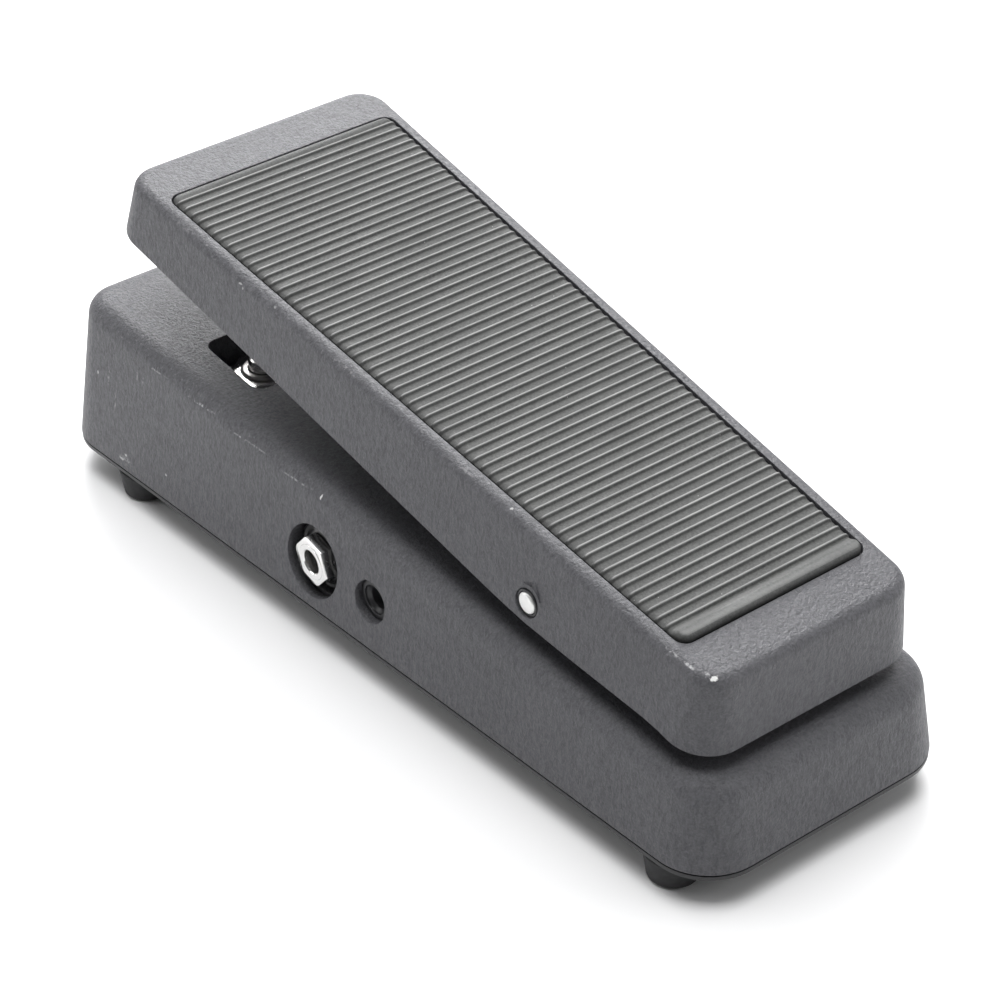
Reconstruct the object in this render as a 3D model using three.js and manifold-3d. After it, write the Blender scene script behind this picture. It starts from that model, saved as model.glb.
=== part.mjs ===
// Rocker effects pedal: a die-cast base with a steel bottom plate and four
// rubber feet, a cast treadle with a ribbed rubber tread on a cross axle,
// a rack that hangs from the treadle and turns a potentiometer, a footswitch
// under the toe end, two phone jacks, a DC socket, a board and a battery.
// Millimetres. +Z up, +Y towards the toe end, +X to the player's right.
// Origin on the floor under the middle of the base.
import * as THREE from 'three';
import { mergeVertices } from 'three/addons/utils/BufferGeometryUtils.js';
import Module from 'manifold-3d';

const wasm = await Module();
wasm.setup();

// ---------------------------------------------------------------- sizes
const BASE_LEN = 254;            // heel to toe at the bottom edge
const BASE_HALF_HEEL = 39.6;     // half width at the heel, bottom edge
const BASE_HALF_TOE = 53.8;      // half width at the toe, bottom edge
const BASE_CORNER = 15.6;        // plan corner radius at the bottom edge
const BASE_DRAFT = 0.147;        // inward lean of the walls (tan)
const BASE_TOP_MID = 34.25;      // height of the sloping top over the plate, mid length
const BASE_TOP_SLOPE = 0.0807;   // rise of the top towards the toe
const BASE_FILLET = 5.7;         // top edge radius
const BASE_WALL = 3.0;
const PLATE_T = 1.2;             // bottom plate
const GAP = 0.3;                 // gap between pieces that touch
const FLOOR = 8.0;               // height of the plate's underside over the floor

const TREAD_TILT = 0.1536;       // treadle tilt at rest (rad)
const TREAD_H = 69.05;           // treadle top plane over the plate at mid length
const TREAD_HEEL = -119.8;       // ends of the treadle along its own top plane
const TREAD_TOE = 103.6;
const TREAD_HALF_HEEL = 31.2;
const TREAD_HALF_TOE = 39.1;
const TREAD_CORNER = 8.1;
const TREAD_FILLET = 3.1;
const TREAD_DRAFT = 0.155;
const TREAD_WALL = 3.2;
const TREAD_TOP_T = 5.0;         // thickness of the treadle's top
const PAD_HEEL = -106.3;         // recess of the rubber tread
const PAD_TOE = 89.2;
const PAD_HALF_HEEL = 28.1;
const PAD_HALF_TOE = 35.06;
const PAD_RECESS = 2.2;
const PAD_CORNER = 3.2;
const PAD_GAP = 0.5;             // gap all round the rubber in its recess
const RIBS = 61;
const RIB_PITCH = 3.034;
const RIB_FIRST = 85.4;

const PIVOT_Y = -59.7;           // axle of the treadle
const PIVOT_Z = 41.4 + FLOOR;
const AXLE_R = 2.8;

const CLEVIS_Y = -7.5;           // pin the rack hangs from
const CLEVIS_Z = 45.1 + FLOOR;
const PINION_Z = 17.0 + FLOOR;
const RACK_PITCH_Y = -10.5;
const PINION_R = 6.0;            // pitch radius
const PINION_Y = RACK_PITCH_Y - PINION_R - 0.2;
const TEETH = 12;

const JACK_Y = 15.0;
const JACK_Z = 14.3 + FLOOR;
const JACK_RECESS_R = 9.84;
const DC_Y = -7.7;
const DC_Z = 14.4 + FLOOR;
const DC_HOLE_R = 5.58;

const SWITCH_X = -21.0;
const SWITCH_Y = 70.0;
const POCKET = { x0: -32, x1: -8, y0: 56, y1: 81, floor: 31.0 + FLOOR };

const BAT = { x0: -24.5, x1: 24.5, y0: -98, y1: -71.5, z0: 1.7 + FLOOR, h: 17.5 };

// ---------------------------------------------------------------- helpers
const group = new THREE.Group();
group.name = 'rocker_pedal';

function toManifold(geometry) {
  const g = geometry.clone();
  g.deleteAttribute('normal');
  g.deleteAttribute('uv');
  const m = mergeVertices(g, 1e-4);
  const index = m.index ? Array.from(m.index.array) : null;
  return new wasm.Manifold(new wasm.Mesh({
    numProp: 3,
    vertProperties: new Float32Array(m.attributes.position.array),
    triVerts: new Uint32Array(index),
  }));
}

function fromManifold(man) {
  const mesh = man.getMesh();
  const g = new THREE.BufferGeometry();
  const src = mesh.vertProperties;
  const n = mesh.numProp;
  const pos = new Float32Array((src.length / n) * 3);
  for (let i = 0; i < src.length / n; i++) {
    pos[i * 3] = src[i * n];
    pos[i * 3 + 1] = src[i * n + 1];
    pos[i * 3 + 2] = src[i * n + 2];
  }
  g.setAttribute('position', new THREE.BufferAttribute(pos, 3));
  g.setIndex(Array.from(mesh.triVerts));
  return g;
}

function polyGeometry(verts, tris) {
  const g = new THREE.BufferGeometry();
  g.setAttribute('position', new THREE.BufferAttribute(new Float32Array(verts.flat()), 3));
  g.setIndex(tris.flat());
  return g;
}

// box from two corners
function box(x0, y0, z0, x1, y1, z1) {
  const g = new THREE.BoxGeometry(x1 - x0, y1 - y0, z1 - z0);
  g.translate((x0 + x1) / 2, (y0 + y1) / 2, (z0 + z1) / 2);
  return toManifold(g);
}

// cylinder between a and b along 'x', 'y' or 'z'
function cyl(axis, c, r, a, b, n = 24, r2 = r) {
  // r at a, r2 at b
  const g = new THREE.CylinderGeometry(r2, r, b - a, n);
  g.rotateX(Math.PI / 2); // axis along +z: top (r2) at +z
  if (axis === 'z') g.translate(c[0], c[1], (a + b) / 2);
  if (axis === 'x') { g.rotateY(Math.PI / 2); g.translate((a + b) / 2, c[0], c[1]); }
  if (axis === 'y') { g.rotateX(-Math.PI / 2); g.translate(c[0], (a + b) / 2, c[1]); }
  return toManifold(g);
}

// turned piece: profile [radius, height] from the axis back to the axis
function turned(axis, c, profile, n = 24) {
  const pts = profile.map(([r, h]) => new THREE.Vector2(r, h));
  const g = new THREE.LatheGeometry(pts, n);
  g.rotateX(Math.PI / 2);
  if (axis === 'z') g.translate(c[0], c[1], 0);
  if (axis === 'x') { g.rotateY(Math.PI / 2); g.translate(0, c[0], c[1]); }
  if (axis === '-x') { g.rotateY(-Math.PI / 2); g.translate(0, c[0], c[1]); }
  return toManifold(g);
}

// prism of a (y, z) polygon between two x
function prismX(pts, x0, x1) {
  const shape = new THREE.Shape(pts.map(([a, b]) => new THREE.Vector2(a, b)));
  const g = new THREE.ExtrudeGeometry(shape, { depth: x1 - x0, bevelEnabled: false });
  // shape x -> y, shape y -> z, depth -> x
  const m = new THREE.Matrix4().set(0, 0, 1, x0, 1, 0, 0, 0, 0, 1, 0, 0, 0, 0, 0, 1);
  g.applyMatrix4(m);
  return toManifold(g);
}

// prism of an (x, y) polygon between two z
function prismZ(pts, z0, z1) {
  const shape = new THREE.Shape(pts.map(([a, b]) => new THREE.Vector2(a, b)));
  const g = new THREE.ExtrudeGeometry(shape, { depth: z1 - z0, bevelEnabled: false });
  g.translate(0, 0, z0);
  return toManifold(g);
}

function ring(r, n, phase = 0) {
  const out = [];
  for (let i = 0; i < n; i++) {
    const t = phase + (i / n) * Math.PI * 2;
    out.push([r * Math.cos(t), r * Math.sin(t)]);
  }
  return out;
}

// rounded, tapered rectangle in plan; inset moves every edge inwards
function outline(halfHeel, halfToe, len, corner, inset, n = 6) {
  const k = (halfToe - halfHeel) / len;
  const ck = 1 / Math.sqrt(1 + k * k);
  const y0 = -len / 2 + inset;
  const y1 = len / 2 - inset;
  const w = (y) => halfHeel + k * (y + len / 2) - inset / ck;
  const r = Math.max(corner - inset, 0.4);
  const side = Math.atan2(-k, 1);
  const out = [];
  for (const [sx, sy] of [[1, -1], [1, 1], [-1, 1], [-1, -1]]) {
    const yc = sy > 0 ? y1 - r : y0 + r;
    const xc = sx * (w(yc) - r / ck);
    let a0;
    let a1;
    if (sx > 0 && sy < 0) { a0 = -Math.PI / 2; a1 = side; }
    else if (sx > 0) { a0 = side; a1 = Math.PI / 2; }
    else if (sy > 0) { a0 = Math.PI / 2; a1 = Math.PI - side; }
    else { a0 = Math.PI - side; a1 = Math.PI * 1.5; }
    for (let i = 0; i <= n; i++) {
      const t = a0 + ((a1 - a0) * i) / n;
      out.push([xc + r * Math.cos(t), yc + r * Math.sin(t)]);
    }
  }
  return out;
}

// closed loft from rings of equal length, bottom ring first
function loft(rings) {
  const n = rings[0].length;
  const verts = [];
  const tris = [];
  for (const r of rings) for (const p of r) verts.push(p);
  for (let k = 0; k < rings.length - 1; k++) {
    for (let i = 0; i < n; i++) {
      const a = k * n + i;
      const b = k * n + ((i + 1) % n);
      tris.push([a, b, b + n], [a, b + n, a + n]);
    }
  }
  const cap = (k, flip) => {
    const c = rings[k].map((p) => new THREE.Vector2(p[0], p[1]));
    for (const [a, b, d] of THREE.ShapeUtils.triangulateShape(c, [])) {
      tris.push(flip ? [k * n + a, k * n + d, k * n + b] : [k * n + a, k * n + b, k * n + d]);
    }
  };
  cap(0, true);
  cap(rings.length - 1, false);
  return toManifold(polyGeometry(verts, tris));
}

// body with leaning walls and a rounded top edge under a sloping top plane
function castShape({ halfHeel, halfToe, len, corner, draft, fillet, zBottom, zTop, inset = 0, steps = 4, n = 6 }) {
  const d = Math.atan(draft);
  const rings = [];
  const at = (i, ins) => outline(halfHeel, halfToe, len, corner, ins + inset, n)[i];
  const count = outline(halfHeel, halfToe, len, corner, inset, n).length;
  rings.push(Array.from({ length: count }, (_, i) => {
    const p = at(i, draft * zBottom);
    return [p[0], p[1], zBottom];
  }));
  for (let s = 0; s <= steps; s++) {
    const phi = d + ((Math.PI / 2 - d) * s) / steps;
    const out = [];
    for (let i = 0; i < count; i++) {
      let y = at(i, 0)[1];
      let p = null;
      let z = 0;
      for (let it = 0; it < 4; it++) {
        const top = zTop(y);
        z = top - fillet + fillet * Math.sin(phi);
        const zs = top - fillet + fillet * Math.sin(d);
        p = at(i, draft * zs + fillet * (Math.cos(d) - Math.cos(phi)));
        y = p[1];
      }
      out.push([p[0], p[1], z]);
    }
    rings.push(out);
  }
  return loft(rings);
}

const PIECES = [];
function add(name, man, colour, roughness, metalness) {
  const geometry = fromManifold(man);
  geometry.computeVertexNormals();
  const mesh = new THREE.Mesh(geometry, new THREE.MeshStandardMaterial({ color: colour, roughness, metalness }));
  mesh.name = name;
  group.add(mesh);
  PIECES.push(name);
}

// rotation from the treadle's own frame (top plane z = 0) to the object
const TREAD_M = new THREE.Matrix4()
  .makeTranslation(0, 0, TREAD_H + FLOOR)
  .multiply(new THREE.Matrix4().makeRotationX(TREAD_TILT));
function toTread(man) {
  const g = fromManifold(man);
  g.applyMatrix4(TREAD_M);
  return toManifold(g);
}
// object point from treadle coordinates (s along, depth under the top plane)
function treadPoint(s, d) {
  const c = Math.cos(TREAD_TILT);
  const n = Math.sin(TREAD_TILT);
  return [s * c + d * n, TREAD_H + FLOOR + s * n - d * c];
}

const baseTop = (y) => FLOOR + BASE_TOP_MID + BASE_TOP_SLOPE * y;

// ---------------------------------------------------------------- base
function baseShell() {
  const dims = { halfHeel: BASE_HALF_HEEL, halfToe: BASE_HALF_TOE, len: BASE_LEN, corner: BASE_CORNER, draft: BASE_DRAFT };
  const local = (y) => BASE_TOP_MID + BASE_TOP_SLOPE * y;
  const outer = castShape({ ...dims, fillet: BASE_FILLET, zBottom: PLATE_T + GAP, zTop: local, steps: 4, n: 5 });
  const inner = castShape({ ...dims, fillet: 3.2, zBottom: -1, zTop: (y) => local(y) - BASE_WALL, inset: BASE_WALL, steps: 2, n: 4 });
  return { outer: outer.translate([0, 0, FLOOR]), inner: inner.translate([0, 0, FLOOR]) };
}

const wallX = (y, z) => BASE_HALF_HEEL + ((BASE_HALF_TOE - BASE_HALF_HEEL) * (y + BASE_LEN / 2)) / BASE_LEN - BASE_DRAFT * (z - FLOOR);

const FEET = [
  ['toe_left', -44.9, 95.6], ['toe_right', 44.9, 95.6],
  ['heel_left', -32.9, -109.3], ['heel_right', 32.9, -109.3],
];
const BOARD_BOSSES = [[0, 50], [38, 50], [8, 102]];
const BRACKET_BOSSES = [[20, -34], [20, 0.5]];
const JACK_OUT = wallX(JACK_Y, JACK_Z);      // wall face at the jack
const JACK_FLOOR = JACK_OUT - 5.0;           // recess floor (distance from the middle)
const JACK_BACK = JACK_FLOOR - 2.5;

{
  const { outer, inner } = baseShell();
  let base = outer.subtract(inner);
  const keep = outer; // features are trimmed to the outer skin
  const addIn = (m) => { base = base.add(m.intersect(keep)); };
  // cups behind the jacks
  for (const s of [-1, 1]) {
    const a = s > 0 ? [JACK_BACK, 60] : [-60, -JACK_BACK];
    addIn(cyl('x', [JACK_Y, JACK_Z], 12.3, a[0], a[1], 32));
  }
  // pad behind the DC socket
  addIn(box(-60, DC_Y - 8, DC_Z - 8, -39.2, DC_Y + 8, DC_Z + 8));
  // switch pocket walls
  addIn(box(POCKET.x0 - 2.6, POCKET.y0 - 2.6, POCKET.floor - 2.6, POCKET.x1 + 2.6, POCKET.y1 + 2.6, 70));
  // screw bosses for the feet
  for (const [, x, y] of FEET) addIn(cyl('z', [x, y], 5.0, FLOOR + PLATE_T + GAP, 70, 20));
  // board and bracket bosses
  for (const [x, y] of BOARD_BOSSES) addIn(cyl('z', [x, y], 3.6, FLOOR + 24.0, 70, 16));
  for (const [x, y] of BRACKET_BOSSES) addIn(cyl('z', [x, y], 4.0, FLOOR + 26.0, 70, 16));
  // cross ribs under the top
  addIn(box(-60, -50, FLOOR + 20, 60, -47.5, 70));
  addIn(box(-60, -126, FLOOR + 16, 60, -123, 70));

  // towers for the axle, standing on the top
  for (const s of [-1, 1]) {
    const x0 = s > 0 ? 22.5 : -30.5;
    const x1 = s > 0 ? 30.5 : -22.5;
    const yb = 11;
    const r = 7.2;
    const pts = [];
    pts.push([PIVOT_Y - yb, baseTop(PIVOT_Y) - 3.2]);
    pts.push([PIVOT_Y + yb, baseTop(PIVOT_Y) - 3.2 + 0.6]);
    for (let i = 0; i <= 10; i++) {
      const t = (Math.PI * i) / 10;
      pts.push([PIVOT_Y + r * Math.cos(t), PIVOT_Z + r * Math.sin(t)]);
    }
    base = base.add(prismX(pts, x0, x1));
    base = base.subtract(cyl('x', [PIVOT_Y, PIVOT_Z], AXLE_R + 0.2, x0 - 1, x1 + 1, 24));
    base = base.subtract(cyl('z', [s * 26.5, PIVOT_Y], 2.2, PIVOT_Z + 1, PIVOT_Z + 12, 16));
  }
  // flat seat for the heel stop
  base = base.add(cyl('z', [0, -100], 8.5, baseTop(-100) - 3.0, FLOOR + 28.4, 28));

  // cuts
  // slot the rack drops through, with a wider mouth for the clevis
  base = base.subtract(box(-11.5, -19.5, FLOOR + 20, 11.5, 3.0, 80));
  // switch pocket
  {
    const p = POCKET;
    const r = 3.0;
    const pts = [];
    for (const [cx, cy, a] of [[p.x1 - r, p.y0 + r, -90], [p.x1 - r, p.y1 - r, 0], [p.x0 + r, p.y1 - r, 90], [p.x0 + r, p.y0 + r, 180]]) {
      for (let i = 0; i <= 4; i++) {
        const t = ((a + (90 * i) / 4) * Math.PI) / 180;
        pts.push([cx + r * Math.cos(t), cy + r * Math.sin(t)]);
      }
    }
    base = base.subtract(prismZ(pts, p.floor, 80));
    base = base.subtract(cyl('z', [SWITCH_X, SWITCH_Y], 6.2, p.floor - 6, p.floor + 2, 28));
  }
  // jack recesses and bush holes
  for (const s of [-1, 1]) {
    const a = s > 0 ? [JACK_FLOOR, 60] : [-60, -JACK_FLOOR];
    base = base.subtract(cyl('x', [JACK_Y, JACK_Z], JACK_RECESS_R, a[0], a[1], 36));
    const b = s > 0 ? [JACK_BACK - 2, JACK_FLOOR + 2] : [-JACK_FLOOR - 2, -JACK_BACK + 2];
    base = base.subtract(cyl('x', [JACK_Y, JACK_Z], 5.0, b[0], b[1], 32));
  }
  // DC hole
  base = base.subtract(cyl('x', [DC_Y, DC_Z], DC_HOLE_R, -60, -38, 28));
  // screw holes
  for (const [, x, y] of FEET) base = base.subtract(cyl('z', [x, y], 1.75, FLOOR, FLOOR + 16.0, 14));
  for (const [x, y] of BOARD_BOSSES) base = base.subtract(cyl('z', [x, y], 1.45, FLOOR + 20, FLOOR + 31.5, 12));
  for (const [x, y] of BRACKET_BOSSES) base = base.subtract(cyl('z', [x, y], 1.45, FLOOR + 22, FLOOR + 30.5, 12));
  add('base_housing', base, 0x3a3b3e, 0.62, 0.35);
}

// bottom plate
{
  const o = outline(BASE_HALF_HEEL, BASE_HALF_TOE, BASE_LEN, BASE_CORNER, 0.35, 6);
  let plate = prismZ(o, FLOOR, FLOOR + PLATE_T);
  for (const [, x, y] of FEET) plate = plate.subtract(cyl('z', [x, y], 1.9, FLOOR - 1, FLOOR + 3, 14));
  add('bottom_plate', plate, 0x15161a, 0.5, 0.6);
}

// feet and their screws
for (const [where, x, y] of FEET) {
  let foot = turned('z', [x, y], [[0, 0], [5.7, 0], [6.3, 0.5], [7.3, FLOOR - GAP - 0.4], [7.0, FLOOR - GAP], [0, FLOOR - GAP]], 22);
  foot = foot.subtract(cyl('z', [x, y], 4.0, -1, 4.6, 18));
  foot = foot.subtract(cyl('z', [x, y], 1.9, 3, 9, 14));
  add('foot_' + where, foot, 0x141414, 0.85, 0);
  let screw = turned('z', [x, y], [[0, 1.9], [2.6, 1.9], [3.4, 2.7], [3.4, 4.3], [1.5, 4.3], [1.5, FLOOR + 14], [0.9, FLOOR + 15], [0, FLOOR + 15]], 12);
  screw = screw.subtract(box(x - 1.9, y - 0.35, 1, x + 1.9, y + 0.35, 2.9)).subtract(box(x - 0.35, y - 1.9, 1, x + 0.35, y + 1.9, 2.9));
  add('foot_screw_' + where, screw, 0x8d8f92, 0.35, 0.9);
}

// ---------------------------------------------------------------- treadle
const tLen = TREAD_TOE - TREAD_HEEL;
const tMid = (TREAD_TOE + TREAD_HEEL) / 2;
const treadHalf = (s, d) => TREAD_HALF_HEEL + ((TREAD_HALF_TOE - TREAD_HALF_HEEL) * (s - TREAD_HEEL)) / tLen + TREAD_DRAFT * d;
// plan of the recess and of the rubber in it, in the treadle's own frame
const padOutline = (inset, n = 5) => outline(PAD_HALF_HEEL, PAD_HALF_TOE, PAD_TOE - PAD_HEEL, PAD_CORNER, inset, n)
  .map(([x, y]) => [x, y + (PAD_TOE + PAD_HEEL) / 2]);
const BUMPER_TOP = 59.0 + FLOOR;
const BUMPER_BOTTOM = 54.4 + FLOOR;
{
  const depth = 32;
  // castShape counts height from zero with zero inset, so the top plane is placed at z = 0
  const dims = {
    halfHeel: TREAD_HALF_HEEL, halfToe: TREAD_HALF_TOE, len: tLen, corner: TREAD_CORNER, draft: TREAD_DRAFT,
  };
  const outer = castShape({ ...dims, fillet: TREAD_FILLET, zBottom: -depth, zTop: () => 0, steps: 4, n: 6 }).translate([0, tMid, 0]);
  const inner = castShape({ ...dims, fillet: 2.4, zBottom: -depth - 2, zTop: () => -TREAD_TOP_T, inset: TREAD_WALL, steps: 2, n: 4 }).translate([0, tMid, 0]);
  let t = outer.subtract(inner);
  // recess for the rubber tread
  t = t.subtract(prismZ(padOutline(0), -PAD_RECESS, 3));
  // stiffening ribs under the top
  for (const s of [-30, 30, 84]) {
    t = t.add(box(-60, s - 1.3, -11, 60, s + 1.3, -TREAD_TOP_T + 0.5).intersect(outer));
  }
  let tread = toTread(t);
  const outerW = toTread(outer);
  // everything below is in the object's frame
  // lower edge of the skirt: deepest by the axle, rising to both ends
  {
    const edge = [
      [TREAD_TOE + 14, 15.6], [TREAD_TOE, 16.1], [83, 17.0], [25, 19.6], [-20, 21.75], [-45, 22.9],
      [-52, 23.2], [-58, 23.35], [-64, 23.35], [-71, 22.95], [-82, 22.25], [-103.5, 20.6], [-109, 20.5], [-114, 20.9], [TREAD_HEEL, 21.2], [TREAD_HEEL - 14, 21.4],
    ];
    const pts = edge.map(([s, d]) => treadPoint(s, d));
    pts.push([-150, 0], [150, 0]);
    pts.reverse();
    tread = tread.subtract(prismX(pts, -80, 80));
  }
  // lug pair the rack hangs from
  for (const s of [-1, 1]) {
    const pts = [[CLEVIS_Y - 5.5, CLEVIS_Z + 24], [CLEVIS_Y - 3.2, CLEVIS_Z]];
    for (let i = 1; i < 8; i++) {
      const a = Math.PI + (Math.PI * i) / 8;
      pts.push([CLEVIS_Y + 3.2 * Math.cos(a), CLEVIS_Z + 3.2 * Math.sin(a)]);
    }
    pts.push([CLEVIS_Y + 3.2, CLEVIS_Z], [CLEVIS_Y + 5.5, CLEVIS_Z + 24]);
    const x0 = s > 0 ? 3.5 : -7.5;
    tread = tread.add(prismX(pts, x0, x0 + 4).intersect(prismX([[-60, 0], [60, 0], [60, TREAD_H + FLOOR - 4 + 0.155 * 60], [-60, TREAD_H + FLOOR - 4 - 0.155 * 60]], -60, 60)));
    tread = tread.subtract(cyl('x', [CLEVIS_Y, CLEVIS_Z], 1.75, x0 - 1, x0 + 5, 16));
  }
  // post over the footswitch
  {
    const top = TREAD_H + FLOOR + 0.155 * SWITCH_Y - 4;
    tread = tread.add(cyl('z', [SWITCH_X, SWITCH_Y], 6.0, BUMPER_TOP, top, 28));
    tread = tread.subtract(cyl('z', [SWITCH_X, SWITCH_Y], 2.3, BUMPER_TOP - 1, BUMPER_TOP + 6, 16));
  }
  // rib that rests on the heel stop
  {
    const top = TREAD_H + FLOOR - 0.155 * 100 - 4;
    tread = tread.add(box(-9, -104, FLOOR + 33.2, 9, -96, top));
  }
  // thicker skirt around the axle
  for (const s of [-1, 1]) {
    const x0 = s > 0 ? 32.4 : -60;
    const x1 = s > 0 ? 60 : -32.4;
    tread = tread.add(cyl('x', [PIVOT_Y, PIVOT_Z], 5.2, x0, x1, 24).intersect(outerW));
  }
  // axle holes
  tread = tread.subtract(cyl('x', [PIVOT_Y, PIVOT_Z], 3.7, -60, -31, 28));
  tread = tread.subtract(cyl('x', [PIVOT_Y, PIVOT_Z], 3.7, 31, 60, 28));
  add('treadle', tread, 0x3c3d40, 0.6, 0.35);
}

// rubber tread: one sheet with raised cross ribs that stop short of its sides
{
  const crest = 0.75;
  const low = -0.6;
  const prof = [
    [-105.5, low], [-105.5, -0.3], [-104.6, 0.55], [-103.0, 1.15], [-101.0, 1.3], [-99.2, 0.9], [-98.5, 0.0], [-98.5, low],
  ];
  const ridge = (pts) => prismX(pts.slice().reverse(), -60, 60);
  let ribs = ridge(prof);
  for (let i = 0; i < RIBS; i++) {
    const c = RIB_FIRST - i * RIB_PITCH;
    ribs = ribs.add(ridge([[c - 0.72, low], [c - 0.62, 0], [c - 0.28, crest], [c + 0.28, crest], [c + 0.62, 0], [c + 0.72, low]]));
  }
  ribs = ribs.add(ridge([[86.4, low], [86.7, 0.6], [87.4, 0.9], [88.2, 0.6], [88.6, -0.1], [88.6, low]]));
  let pad = prismZ(padOutline(PAD_GAP), -PAD_RECESS + GAP, 0);
  pad = pad.add(ribs.intersect(prismZ(padOutline(PAD_GAP + 1.5, 3), low + 0.1, 4)));
  pad = pad.add(ribs.intersect(prismZ(padOutline(PAD_GAP + 0.1, 5), low + 0.1, 4)).intersect(box(-60, -120, -5, 60, -98.4, 5)));
  add('tread_pad', toTread(pad), 0x2b2d29, 0.7, 0);
}

// axle, bushings, set screws
add('pivot_axle', turned('x', [PIVOT_Y, PIVOT_Z], [[0, -36.2], [2.45, -36.2], [AXLE_R, -35.9], [AXLE_R, 35.9], [2.45, 36.2], [0, 36.2]], 24), 0xc9cacc, 0.22, 1);
for (const [where, s] of [['left', -1], ['right', 1]]) {
  // sleeve through the skirt with a flange on the inside
  const axis = s > 0 ? 'x' : '-x';
  const bush = turned(axis, [PIVOT_Y, PIVOT_Z], [[3.0, 30.8], [5.6, 30.8], [5.6, 31.5], [3.5, 31.5], [3.5, 35.8], [3.0, 35.8], [3.0, 30.8]], 24);
  add('treadle_bushing_' + where, bush, 0x101012, 0.5, 0);
  let grub = cyl('z', [s * 26.5, PIVOT_Y], 2.0, PIVOT_Z + AXLE_R + 0.25, PIVOT_Z + 7.0, 16);
  grub = grub.subtract(cyl('z', [s * 26.5, PIVOT_Y], 1.15, PIVOT_Z + 5.2, PIVOT_Z + 8, 6));
  add('axle_set_screw_' + where, grub, 0x1c1c1e, 0.4, 0.8);
}

// rubber parts on the two stops
add('toe_bumper', turned('z', [SWITCH_X, SWITCH_Y], [[0, BUMPER_BOTTOM], [5.4, BUMPER_BOTTOM], [6.3, BUMPER_BOTTOM + 0.9], [6.3, BUMPER_TOP - 0.3], [2.0, BUMPER_TOP - 0.3], [2.0, BUMPER_TOP + 5], [0, BUMPER_TOP + 5]], 28), 0x121212, 0.85, 0);
add('heel_stop_pad', turned('z', [0, -100], [[0, FLOOR + 28.7], [7.0, FLOOR + 28.7], [7.0, FLOOR + 32.2], [6.3, FLOOR + 32.9], [0, FLOOR + 32.9]], 28), 0x161616, 0.9, 0);

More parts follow.
